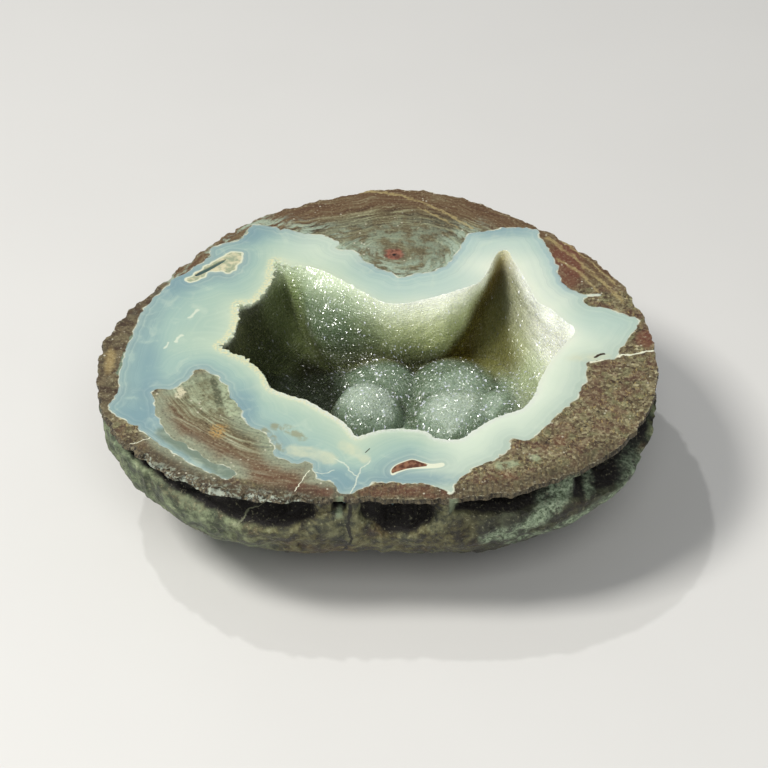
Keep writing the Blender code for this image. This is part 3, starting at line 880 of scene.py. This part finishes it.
def path(place, points, half_width, soft):
    return highest(*(line(place, start, end, half_width, soft) for start, end in zip(points, points[1:])))


def warped(place, size, reach):
    """The place moved a little to and fro, so that what is drawn from it wavers."""
    moved = put("ShaderNodeTexNoise", {"Vector": place, "Scale": 1.0 / size, "Detail": 2.0}, "Color")
    away = shift("SUBTRACT", moved, (0.5, 0.5, 0.5))
    return shift("ADD", place, shift("MULTIPLY", away, (reach, reach, reach)))


def streaks(across, place, width, length, detail=4.0):
    """Noise drawn out along lines on which a value stays the same."""
    x, y = part_of(place, 1.0), part_of(place, 0.0, 1.0)
    inputs = {0: across * (1.0 / width), 1: x * (1.0 / length), 2: y * (1.0 / length)}
    return clouds(put("ShaderNodeCombineXYZ", inputs), 1.0, detail, 0.6)


def relief(shader, height, distance, strength=1.0):
    inputs = {"Strength": strength, "Distance": distance * MM, "Height": height}
    feed(put("ShaderNodeBump", inputs), shader.inputs["Normal"])


def agate_material():
    material, shader, place = new_material("banded_agate")
    contact = attribute("from_contact")
    mouth = attribute("from_mouth")
    island = attribute("from_island")
    patch = attribute("from_patch")
    drift = clouds(place, 8, 3, 0.5)
    rock = lowest(contact, lowest(abs(island), abs(patch)))
    share = rock / (rock + mouth)
    share = scaled(drift - 0.5, 0.4, share)
    west = ramp(
        share, (0, 128, 152, 152), (0.14, 139, 164, 160), (0.36, 152, 177, 167), (0.62, 161, 183, 168),
        (0.86, 176, 193, 173), (1, 190, 202, 177)
    )
    right = ramp(
        share, (0, 140, 162, 164), (0.09, 156, 178, 178), (0.22, 180, 198, 188), (0.42, 197, 209, 195),
        (0.75, 205, 215, 199), (1, 216, 223, 204)
    )
    east = stretch(part_of(place, 1, 0.45), -9, 32)
    colour = over(east, west, right)
    plain = stretch(part_of(place, 1, -0.6), 24, 36)
    light = spot(place, (-8.5, 26.5), (9, 5.5), 0.7)
    cool = highest(
        spot(place, (9, 14.5), (12, 4.6), 0.7), spot(place, (23.5, 28.5), (10, 5), 0.7),
        spot(place, (42, 4.5), (6.5, 5.5), 0.7)
    )
    colour = laid(
        colour,
        (
            plain * 0.85,
            ramp(
                share, (0, 166, 182, 166), (0.2, 182, 196, 180), (0.5, 194, 207, 189), (0.8, 206, 217, 198),
                (1, 216, 223, 204)
            )
        ),
        (light * 0.62, (200, 212, 192)), (cool * 0.6, (164, 188, 180))
    )
    # Fine bands that follow the rock, strongest near it.
    inputs = {"W": scaled(drift - 0.5, 1.2, rock), "Scale": 1.3, "Detail": 3, "Roughness": 0.6}
    bands = put("ShaderNodeTexNoise", inputs, "Fac", noise_dimensions="1D")
    dark = fade(bands, 0.32, 0.54) * stretch(rock, 0.5, 5, 0.3, 0.03)
    dark = dark * scaled(plain, -0.6, 1)
    light = stretch(bands, 0.48, 0.72) * stretch(rock, 0.5, 5, 0.28, 0.06)
    wavy = warped(place, 2, 1.6)
    pools = highest(
        spot(place, (-40.9, -22.4), (5, 4), 0.9), spot(place, (-6.6, -39.4), (4.6, 3), 0.6),
        spot(place, (8, -39.4), (8, 1.5), 0.7), spot(place, (-23.2, -20), (2.2, 5.2), 0.8),
        spot(place, (-24, 30), (3.4, 2.8), 0.8), spot(place, (-41, -10), (2.4, 9), 0.9),
        spot(place, (-38, 16), (4, 6), 0.9), spot(place, (22, 31.4), (9, 2.2), 0.8)
    )
    channel = path(wavy, ((-36.3, -27.7), (-30.9, -32.2), (-25, -37.6)), 1.2, 1.8)
    milk = stretch(clouds(place, 4, 4, 0.6, 0.8), 0.5, 0.76) * 0.3
    cream = highest(
        path(wavy, ((-14.6, -31.9), (-11.2, -32.6), (-8.2, -34.2)), 0.9, 1.1),
        path(wavy, ((-5.6, -30.6), (-3.6, -32.4), (-2, -34)), 0.5, 1.2),
        spot(wavy, (38.2, -6.6), (3.6, 1.1), 0.6)
    )
    cream = cream * stretch(clouds(place, 2.4, 4, 0.6), 0.3, 0.62, 0.35, 1)
    tan = highest(
        path(wavy, ((-17.6, -25.4), (-15.6, -26.2), (-13, -28.6)), 0.45, 0.9),
        path(wavy, ((-19.6, -26.6), (-18, -29.6), (-16.6, -31.4)), 0.35, 0.8)
    )
    tan = tan * stretch(clouds(place, 1.7, 4, 0.65), 0.34, 0.56)
    edge_width = scaled(stretch(clouds(place, 2.4, 3), 0.42, 0.7), 0.24, 0)
    edge = fade(contact - edge_width, -0.06, 0.08)
    edge = edge * stretch(clouds(place, 1.5, 2), 0.36, 0.54, 0.35, 0.8)
    colour = laid(
        colour, (dark, (112, 140, 146)), (light, (206, 214, 196)), (pools * 0.55, (106, 138, 150)),
        (channel * 0.8, (104, 116, 96)), (milk, (196, 208, 188)), (cream * 0.62, (198, 200, 170)),
        (tan * 0.72, (138, 136, 104)), (edge, (210, 214, 192))
    )
    # The island of rock at the front, whiter below it and to its right.
    below = stretch(part_of(place, 0.35, -1), 38.4, 40.6)
    halo_width = scaled(below, 0.5, 0.08)
    halo = fade(island - halo_width, -0.08, 0.12)
    core = fade(island + below * 0.35, -0.16, -0.02)
    rust = over(stretch(clouds(place, 0.8, 3), 0.35, 0.65), (84, 52, 38), (136, 98, 74))
    colour = laid(colour, (halo, (212, 216, 194)), (core, rust))
    # The buff patch at the left with its own rings.
    inside = fade(patch, -0.08, 0.04)
    buff = over(stretch(clouds(place, 1.1, 3), 0.35, 0.65), (148, 158, 132), (200, 194, 162))
    ring_round = fade(abs(patch), 0.1, 0.26)
    colour = laid(colour, (inside, buff), (ring_round * 0.8, (212, 214, 188)))
    # Pale flecks and veins across the agate, and two small pits.
    flecks = highest(
        path(wavy, ((-34.4, 4.9), (-33.6, 5.9), (-32.9, 7.2)), 0.14, 0.3),
        path(wavy, ((-36.6, -2.4), (-35.9, -1.2), (-35.2, -0.5)), 0.16, 0.3),
        path(wavy, ((-38.4, -3.9), (-38, -2.6)), 0.06, 0.2),
        path(
            wavy, ((-7.4, -34.4), (-5.6, -35), (-4.4, -37.6), (-3.2, -38.7), (-2.6, -36.4), (-1, -34.6)),
            0.02, 0.16
        ),
        path(wavy, ((-11.4, -37.3), (-9.4, -38), (-7.4, -37.4)), 0.02, 0.14),
        path(wavy, ((-3.2, -38.7), (-4, -41.6), (-4.8, -44.2)), 0.06, 0.16)
    )
    pit = highest(
        path(wavy, ((39.2, -6.4), (40.9, -5.7)), 0.22, 0.2),
        path(place, ((-1.9, -32.5), (-1.2, -31.5)), 0.03, 0.12)
    )
    colour = laid(colour, (flecks * 0.62, (214, 218, 198)), (pit, (58, 46, 34)))
    # The sugary border of the crust at the hollow's left.
    sugar = fade(mouth, 0.5, 1.5) * stretch(part_of(place, 1, 0.3), -9, -14)
    sugar = sugar * stretch(clouds(place, 0.5, 2), 0.4, 0.6)
    white = fade(mouth, 0.2, 1.3) * stretch(part_of(place, 0, 1), -12, -20)
    white = white * stretch(clouds(place, 0.45, 2), 0.36, 0.58, 0.3, 1)
    colour = laid(colour, (sugar * 0.85, (212, 208, 164)), (white * 0.85, (210, 217, 206)))
    feed(colour, shader.inputs["Base Color"])
    shader.inputs["Roughness"].default_value = 0.22
    shader.inputs["Subsurface Weight"].default_value = 0.3
    shader.inputs["Subsurface Radius"].default_value = (0.9, 1, 0.85)
    shader.inputs["Subsurface Scale"].default_value = 0.001
    shader.inputs["IOR"].default_value = 1.54
    relief(shader, clouds(place, 0.7, 3), 0.02, 0.4)
    return material


def druse_material():
    material, shader, place = new_material("sparkling_druse")
    depth = TOP - part_of(place, 0, 0, 1)
    sky = attribute("open_sky")
    tone_and_glint = attribute("tone_and_glint")
    drift = clouds(place, 6, 3) - 0.5
    # Painted shade: the crust is darker where less of the sky above it is open, in its creases and hollows,
    # with the brown of stain in the creases.
    lit = scaled(drift, 0.25, sky)
    colour = ramp(
        lit, (0, 20, 18, 8), (0.18, 38, 36, 16), (0.38, 60, 66, 40), (0.56, 80, 95, 72),
        (0.72, 98, 115, 92), (0.88, 126, 143, 123), (1, 160, 174, 158)
    )
    # The wall at the back, cream at the cut and olive lower down, with a grey-green lobe at its left. The
    # cream at the cut is painted light for light coming through the agate, the darkening to olive lower down
    # is painted shade, and the lobe is darker still, partly as painted shade.
    back = stretch(part_of(place, -0.12, 1, 0.5), 14.6, 17.2)
    fall = scaled(drift, 2, depth) / 14
    wall = ramp(
        fall, (0, 238, 242, 224), (0.14, 226, 232, 204), (0.34, 200, 208, 160), (0.54, 168, 176, 122),
        (0.74, 134, 140, 88), (0.9, 98, 100, 56), (1, 66, 64, 30)
    )
    lobe = ramp(
        fall, (0, 194, 207, 178), (0.12, 152, 169, 136), (0.3, 110, 127, 96), (0.55, 86, 102, 74),
        (0.82, 78, 88, 60), (1, 50, 54, 30)
    )
    # Painted light: the far left corner is made a paler olive where it lies in shade.
    corner = stretch(part_of(place, 1, -0.3, 0.2), -12, -17)
    corner = corner * stretch(depth, 0.5, 3)
    lobe = over(corner * 0.85, lobe, (146, 164, 104))
    wall = over(stretch(scaled(drift, 4, part_of(place, 1)), -7, 10), lobe, wall)
    # The cream wall at the right, made darker lower down as painted shade.
    right = stretch(part_of(place, 1, 0.2), 23, 29)
    cream = ramp(
        fall, (0, 238, 242, 230), (0.36, 246, 248, 234), (0.66, 243, 247, 228), (0.86, 204, 213, 180),
        (1, 156, 167, 128)
    )
    # Painted shade in the crevice at the right of the back wall: a greyed olive on its flank and dark
    # olive-brown down in it.
    crevice = stretch(part_of(place, 1, 0.2), 19, 22) * stretch(part_of(place, 0, 1), 4, 11)
    flank = crevice * stretch(part_of(place, 1, 0.1), 32, 28)
    flank = flank * stretch(depth, 0.5, 5)
    crevice = stretch(part_of(place, 1, 0, -0.8), -4.2, 0.2) * stretch(part_of(place, 0, 1), 4, 11)
    crevice = crevice * stretch(part_of(place, 1, 0.1), 29.6, 25.4)
    crevice_shade = ramp(
        fall, (0, 186, 182, 134), (0.1, 146, 134, 72), (0.26, 84, 68, 22), (0.55, 50, 40, 7),
        (1, 66, 58, 20)
    )
    colour = laid(colour, (back * 0.95, wall), (right * 0.9, cream), (flank * 0.7, (156, 160, 112)))
    crevice_shade = over(stretch(part_of(place, 1, 0, -0.55), 7.5, 12.5, 0, 0.5), crevice_shade, (116, 118, 68))
    # Painted shadow over the recess at the left of the hollow, darkest deep down and paler olive towards its
    # back.
    west = part_of(place, 1, 0, 0.96)
    west = fade(scaled(drift, 2, west), 5.5, 12.5)
    west = west * stretch(depth, 0.3, 1.6)
    gloom = over(stretch(depth, 4, 15), (52, 54, 35), (19, 20, 11))
    beside = stretch(part_of(place, 0.5, 1, 0.35), 7.5, 14)
    colour = over(crevice * 0.95, colour, crevice_shade)
    gloom = over(beside * 0.65, gloom, (98, 108, 66))
    shaded = highest(west, crevice)
    # Painted glints: crystals whose tone is near 1 are made nearly white, less so where painted shade lies.
    painted_glints = stretch(tone_and_glint, 0.86, 0.94) * scaled(shaded, -0.8, 1)
    colour = laid(colour, (west * 0.92, gloom), (painted_glints * 0.8, (234, 238, 250)))
    feed(colour, shader.inputs["Base Color"])
    # Each tiny crystal face has a tilt of its own.
    facets = grains(place, 0.24, "Color")
    tilt = shift("SUBTRACT", facets, (0.5, 0.5, 0.5))
    bold = stretch(part_of(facets, 0, 1), 0.91, 0.95, 0.22, 1.1)
    calm = highest(shaded, back * 0.8)
    bold = bold * scaled(calm, -0.5, 1)
    normal = put("ShaderNodeNewGeometry", {}, "Normal")
    facing = shift("NORMALIZE", shift("ADD", normal, sized(tilt, bold)))
    feed(facing, shader.inputs["Normal"])
    feed(stretch(tone_and_glint, 0, 1, 0.3, 0.1), shader.inputs["Roughness"])
    shader.inputs["Subsurface Weight"].default_value = 0.5
    shader.inputs["Subsurface Radius"].default_value = (1, 1, 0.7)
    shader.inputs["Subsurface Scale"].default_value = 0.002
    shader.inputs["IOR"].default_value = 1.55
    feed(stretch(shaded, 0, 1, 0.8, 0.1), shader.inputs["Specular IOR Level"])
    # Light that comes through the agate just under the cut.
    glow = fade(depth, 0, 5) * highest(back, right)
    glow = glow * scaled(shaded, -0.9, 1)
    shader.inputs["Emission Color"].default_value = (*paint(236, 240, 216), 1)
    feed(glow * 0.15, shader.inputs["Emission Strength"])
    return material


def rhyolite_material():
    material, shader, place = new_material("flow_banded_rhyolite")
    rim = attribute("from_rim")
    contact = attribute("from_contact")
    drift = clouds(place, 11, 3) - 0.5
    middle = clouds(place, 2.4, 4, 0.6)
    sway = middle - 0.5
    fine = clouds(place, 0.5, 4, 0.7)
    wavy = warped(place, 1.3, 1.5)
    north = stretch(part_of(place, -0.1, 1), 7, 15)
    # Granular stone at the front and right.
    crumbs = grains(place, 0.5, "Color")
    grit = scaled(middle, 0.6, part_of(crumbs, 1) * 0.4)
    colour = ramp(
        grit, (0.2, 40, 29, 20), (0.35, 70, 55, 38), (0.46, 88, 77, 54), (0.57, 107, 98, 72),
        (0.7, 142, 134, 102), (0.82, 194, 186, 150)
    )
    purple = stretch(clouds(place, 3.6, 3), 0.48, 0.62)
    moss = stretch(clouds(shift("ADD", place, (40, 0, 0)), 2.6, 4, 0.65), 0.5, 0.64)
    fibres = stretch(clouds(stretched(wavy, 2.6, 0.7, 1), 1, 4, 0.7), 0.56, 0.66)
    colour = laid(
        colour, (purple * 0.42, (98, 68, 54)), (moss * 0.5, (116, 118, 82)),
        (fibres * 0.62, (166, 148, 94))
    )
    # Flow lines round the red spot at the back, and along the rim beyond it.
    around = shift("LENGTH", aside(place, (3.4, 24.1), 0.6, 1))
    flow = scaled(rim, -1, 21)
    beyond = stretch(around, 7, 15)
    flow = flow * beyond + around * (1 - beyond)
    flow = scaled(drift, 5, scaled(sway, 0.6, flow))
    lines = ramp(
        streaks(flow, place, 0.62, 8, 5), (0.3, 36, 26, 17), (0.42, 66, 54, 36), (0.49, 88, 76, 52),
        (0.56, 106, 100, 72), (0.64, 140, 138, 106), (0.76, 176, 176, 144)
    )
    near = stretch(around, 5, 15, 0.7, 0)
    outer = stretch(scaled(sway, 2, rim), 4, 8, 0.62, 0)
    lines = laid(
        lines, (near, over(stretch(clouds(place, 3.2, 4, 0.6), 0.4, 0.6), (98, 92, 68), (132, 146, 124))),
        (outer, (98, 70, 47))
    )
    pale = fade(contact, 0.5, 6) * north
    pale = pale * stretch(streaks(flow, place, 1.1, 4), 0.46, 0.62)
    pale = pale * stretch(part_of(place, 1), 24, 16)
    brick = highest(spot(wavy, (35.4, 20.4), (3.2, 7.5), 0.3), spot(wavy, (48.8, -1.4), (1.8, 2.4), 0.3))
    ochre = highest(
        path(wavy, ((-1, 44.2), (4.4, 42.9), (9.2, 40.3), (14, 36.4), (18.1, 32.3)), 0.14, 0.4),
        path(wavy, ((-16, 41.6), (-8, 43.6), (-1, 44.2)), 0.15, 0.4),
        path(wavy, ((32.5, 29.1), (37.3, 22.8), (41.6, 16.1), (45.3, 10.1)), 0.18, 0.42),
        path(wavy, ((33.7, 22.8), (38, 18.5), (41, 12.5)), 0.12, 0.4),
        path(wavy, ((35, 28.4), (40.4, 21.4), (44.6, 14.4)), 0.05, 0.3),
        path(wavy, ((8, 39), (12, 35.6), (15.6, 32)), 0.06, 0.3)
    )
    ochre = ochre * stretch(middle, 0.3, 0.58, 0.3, 1)
    colour = laid(
        colour, (north, lines), (pale * 0.75, (160, 178, 158)), (brick * 0.68, (104, 58, 44)),
        (ochre * 0.66, (166, 150, 102))
    )
    # Arcs of the tongue of rock at the front left.
    west = highest(spot(place, (-27, -24.5), (14, 14.5), 0.1), path(place, ((-24, -34), (-8, -40)), 4, 1.5))
    bow = shift("LENGTH", shift("MULTIPLY", shift("SUBTRACT", place, (-14, -4, TOP)), (1, 0.88, 0)))
    bow = scaled(drift, 3, scaled(sway, 0.35, bow))
    arcs = ramp(
        streaks(bow, place, 0.55, 7, 6), (0.3, 54, 44, 30), (0.42, 88, 78, 54), (0.48, 108, 101, 74),
        (0.55, 128, 127, 99), (0.63, 152, 155, 127), (0.76, 188, 190, 164)
    )
    head = spot(wavy, (-28, -16), (6.5, 6), 0.5)
    mossy = over(stretch(middle, 0.4, 0.6), (94, 96, 68), (146, 158, 128))
    arcs = laid(
        arcs, (stretch(bow, 23, 29, 0, 0.62), (98, 64, 46)),
        (stretch(scaled(sway, 2, contact), 0.4, 3.6, 0.55, 0), (146, 162, 138)), (head * 0.6, mossy)
    )
    colour = over(west, colour, arcs)
    # The strip outside the agate at the left, and the slab's edge along the front.
    strip = stretch(part_of(place, 1, -0.18), -41, -43)
    bark = over(stretch(middle, 0.4, 0.6), (56, 41, 29), (92, 82, 60))
    front = fade(rim, 1.5, 5) * stretch(part_of(place, 0, 1), -24, -34)
    grooves = clouds(stretched(place, 2.2, 0.3, 1), 1, 3, 0.6)
    slab = over(stretch(grooves, 0.4, 0.62), (42, 32, 22), (84, 73, 51))
    tan = spot(wavy, (-48, -7.6), (0.9, 3.4), 0.5)
    wedge = path(wavy, ((-43.6, 1), (-44.9, -5.1), (-45.9, -10.8)), 0.55, 0.35)
    streak = path(wavy, ((21.3, -36), (24, -35.3), (27.4, -34)), 0.5, 0.8)
    streak = streak * stretch(middle, 0.4, 0.56)
    red = highest(
        spot(wavy, (21.7, -38.8), (2.4, 1.3), 0.5), spot(wavy, (31.9, -29.3), (1.6, 1.4), 0.6),
        path(wavy, ((-14, -41.4), (-8.4, -42.4)), 0.7, 1.2),
        path(wavy, ((-1.5, -42.8), (4, -42.2), (11, -43.2)), 0.8, 1.2)
    )
    red = red * stretch(middle, 0.36, 0.56, 0.35, 1)
    slit = path(wavy, ((-29.2, -13.2), (-28.3, -17), (-27.7, -19.8)), 0.35, 0.5)
    pocket = path(wavy, ((-26.6, -13.8), (-26.2, -17.6), (-25.6, -21.8)), 0.7, 0.8)
    rough = stretch(clouds(place, 1.2, 4, 0.65), 0.38, 0.58)
    chip = spot(wavy, (-34.9, -16.4), (0.8, 1.6), 0.4)
    dusk = path(place, ((-40, -34), (-30, -40.4), (-20, -43), (-12, -43.6)), 1, 2.4)
    colour = laid(
        colour, (strip * 0.8, bark), (front * 0.7, slab), (tan * 0.8, (150, 132, 88)),
        (wedge * 0.85, (108, 128, 108)), (streak * 0.6, (150, 164, 132)), (red * 0.45, (100, 54, 37)),
        (pocket * rough * 0.8, (158, 170, 138)), (slit * 0.6, (50, 54, 34)),
        (chip * stretch(fine, 0.36, 0.52) * 0.75, (208, 200, 168)), (dusk * 0.5, (62, 52, 38))
    )
    # Grit over everything.
    specks = fade(grains(place, 1.3, "Distance"), 0.1, 0.2) * stretch(clouds(place, 5, 2), 0.5, 0.6)
    colour = laid(
        colour, (stretch(fine, 0.54, 0.7) * 0.48, (178, 172, 140)),
        (fade(fine, 0.32, 0.47) * 0.62, (42, 32, 22)), (specks * 0.6, (204, 200, 178))
    )
    # The red spot with its dark eye, the ochre patch and the pale veins.
    eye = spot(wavy, (3.2, 24.1), (1.7, 1.7), 0.3)
    rusty = spot(wavy, (-27.7, -26.8), (1.5, 1.8), 0.5) * stretch(fine, 0.4, 0.56)
    veins = highest(
        path(wavy, ((38.6, -8), (43.4, -6.2), (46.8, -5.5), (50.2, -4.4)), 0.14, 0.18),
        path(wavy, ((-43.7, -31.1), (-39.1, -28.5)), 0.01, 0.1),
        path(wavy, ((-11.6, -37.1), (-12.6, -39.2), (-13.7, -42.4)), 0.03, 0.12)
    )
    rind_edge = stretch(contact, 0, 0.18, 0.6, 0) * stretch(middle, 0.4, 0.6)
    chipped = fade(rim, 0, 0.6) * stretch(fine, 0.48, 0.62)
    broken = path(place, ((-39.1, -35.6), (-32.9, -39), (-26.7, -41.9), (-19, -44), (-13, -44.6)), 0.8, 1.6)
    broken = broken * stretch(clouds(place, 1.1, 3, 0.7), 0.48, 0.62)
    colour = laid(
        colour, (eye * 0.85, over(stretch(clouds(place, 0.8), 0.4, 0.6), (92, 44, 34), (140, 82, 64))),
        (spot(place, (3.2, 23.9), (0.35, 0.35), 0.4), (26, 14, 12)), (rusty * 0.75, (168, 132, 72)),
        (veins * 0.9, (220, 222, 198)), (rind_edge, (206, 208, 182)), (chipped * 0.5, (184, 184, 160)),
        (broken * 0.5, (150, 160, 142))
    )
    feed(colour, shader.inputs["Base Color"])
    feed(stretch(fine, 0.3, 0.7, 0.36, 0.6), shader.inputs["Roughness"])
    relief(shader, fine, 0.1, 0.6)
    return material


def skin_material():
    material, shader, place = new_material("weathered_rind")
    height = part_of(place, 0, 0, 1)
    sunk = attribute("sunk")
    wavy_side = warped(place, 2, 1.4)
    broad = clouds(place, 7, 5, 0.62)
    middle = clouds(place, 2.2, 5, 0.65)
    fine = clouds(place, 0.6, 4, 0.7)
    body = ramp(
        middle, (0.3, 18, 17, 11), (0.42, 42, 40, 25), (0.5, 76, 77, 48), (0.58, 114, 118, 82),
        (0.7, 170, 174, 138)
    )
    green = over(stretch(middle, 0.35, 0.65), (66, 78, 56), (136, 152, 122))
    brown = over(stretch(fine, 0.35, 0.65), (54, 36, 22), (122, 94, 58))
    left = stretch(part_of(place, 1), -14, -32)
    centre = fade(abs(part_of(place, 1)), 14, 26) * stretch(part_of(place, 0, 1), -14, -26)
    bark = over(stretch(middle, 0.38, 0.62), (30, 25, 15), (104, 94, 60))
    slab = stretch(scaled(middle - 0.5, 1.4, height), 29, 29.8)
    cut = over(
        stretch(clouds(stretched(place, 1, 1, 0.3), 0.5, 3, 0.7), 0.38, 0.64), (38, 31, 22), (106, 96, 72)
    )
    body = laid(
        body, (stretch(broad, 0.48, 0.6) * 0.55, green), (fade(broad, 0.34, 0.46) * 0.75, brown),
        (left * 0.55, green), (centre * 0.62, bark)
    )
    colour = over(slab, body, cut)
    inputs = {0: part_of(wavy_side, 1), 1: part_of(wavy_side, 0, 0, 1), 2: TOP}
    seen = put("ShaderNodeCombineXYZ", inputs)
    ahead = stretch(part_of(place, 0, 1), -18, -26)
    # Pale strips at the right, one of them across the groove, are painted light where the skin catches the
    # lamp; the side beside them is darker at the front right.
    right = ahead * stretch(part_of(place, 1), 12, 20)
    crust = highest(
        path(seen, ((19.5, 20.5), (25.5, 22), (30.5, 25), (34, 28.4)), 0.9, 1.8),
        path(seen, ((24, 17), (33, 18.6), (41, 20), (46.5, 21.4), (49.4, 23.4)), 0.8, 1.6),
        path(seen, ((37, 24.6), (41, 26.6)), 0.3, 1.2)
    )
    crust = crust * ahead * stretch(middle, 0.36, 0.54, 0.15, 1)
    # Painted shade over a dark brown: the groove under the rim is made near black where it is deeper.
    groove = stretch(scaled(fine - 0.5, 1.2, sunk), 0.5, 1.6)
    pale = over(stretch(fine, 0.36, 0.62), (90, 106, 80), (172, 190, 160))
    seam = spot(wavy_side, (-6.3, -45.6), (0.75, 3), 0.4) * stretch(height, 25.6, 26.6)
    rib = spot(wavy_side, (13.2, -44), (0.8, 3), 0.4) * stretch(height, 27, 28.2)
    thread = path(seen, ((-14, 30), (-17.5, 27), (-21.5, 24.6), (-26, 23)), 0.03, 0.12)
    thread = thread * stretch(part_of(place, 0, 1), -30, -34)
    crack = path(seen, ((-4.2, 29), (-4.8, 25), (-4.4, 21), (-5.8, 16)), 0.18, 0.2)
    crack = crack * stretch(part_of(place, 0, 1), -30, -34)
    crystals = path(place, ((-39.4, -35.4), (-33.4, -39), (-27, -42), (-19.4, -44), (-12.4, -45)), 2.2, 1.2)
    crystals = crystals * stretch(clouds(stretched(place, 1, 1, 0.6), 1.1, 3, 0.7), 0.47, 0.6)
    crystals = crystals * stretch(height, 28.4, 29.4)
    colour = laid(
        colour, (right * (0.75 - slab * 0.75), (34, 34, 24)), (groove, (18, 13, 9)), (crust * 0.9, pale),
        (stretch(fine, 0.56, 0.72) * 0.45, (186, 184, 150)), (fade(fine, 0.28, 0.42) * 0.6, (22, 19, 13)),
        (highest(seam, rib) * 0.6, (150, 166, 134)), (thread * 0.6, (150, 154, 124)),
        (crack * 0.9, (14, 12, 8)), (crystals * 0.75, (172, 182, 166))
    )
    feed(colour, shader.inputs["Base Color"])
    feed(stretch(middle, 0.3, 0.7, 0.45, 0.8), shader.inputs["Roughness"])
    relief(shader, scaled(fine, 0.6, middle), 0.6, 1)
    return material


def floor_material():
    material, shader, place = new_material("pale_floor")
    tone = over(clouds(place, 60), (204, 203, 200), (210, 209, 206))
    feed(tone, shader.inputs["Base Color"])
    shader.inputs["Roughness"].default_value = 0.8
    return material


# The stage.

def make_floor():
    bm = bmesh.new()
    bmesh.ops.create_grid(bm, x_segments=8, y_segments=8, size=3.0)
    mesh = mesh_of(bm, "floor")
    bm.free()
    mesh.materials.append(floor_material())
    floor = added("floor", mesh)


def area_light(name, place, size, power, colour=(1.0, 1.0, 1.0)):
    light = bpy.data.lights.new(name, "AREA")
    light.size = size
    light.energy = power
    light.color = colour
    lamp = added(name, light)
    lamp.location = place
    lamp.rotation_euler = (Vector(LIT_PLACE) - Vector(place)).to_track_quat("-Z", "Y").to_euler()


def light_stage():
    world = bpy.data.worlds.new("studio")
    world.use_nodes = True
    background = world.node_tree.nodes["Background"]
    background.inputs["Color"].default_value = (0.92, 0.95, 1.0, 1.0)
    background.inputs["Strength"].default_value = 0.22
    bpy.context.scene.world = world
    bpy.context.scene.view_settings.view_transform = "Standard"
    area_light("key", (-0.37, -0.17, 0.63), 0.18, 4.6, (1.0, 0.98, 0.94))
    area_light("fill", (0.08, -0.60, 0.70), 0.4, 3.0, (1.0, 1.0, 0.98))
    area_light("sparkle", (-0.26, 0.16, 0.84), 0.025, 1.4)


def aim_camera():
    data = bpy.data.cameras.new("photo_view")
    data.sensor_width = 36.0
    data.lens = 131.5
    camera = added("photo_view", data)
    camera.location = (0.0013, -0.39707, 0.35239)
    camera.rotation_euler = (math.radians(50.0), 0.0, 0.0)
    bpy.context.scene.camera = camera


aim_camera()
light_stage()
make_floor()
make_rind([rhyolite_material(), skin_material()])
agate = agate_material()
make_agate([agate])
make_druse([druse_material(), agate])
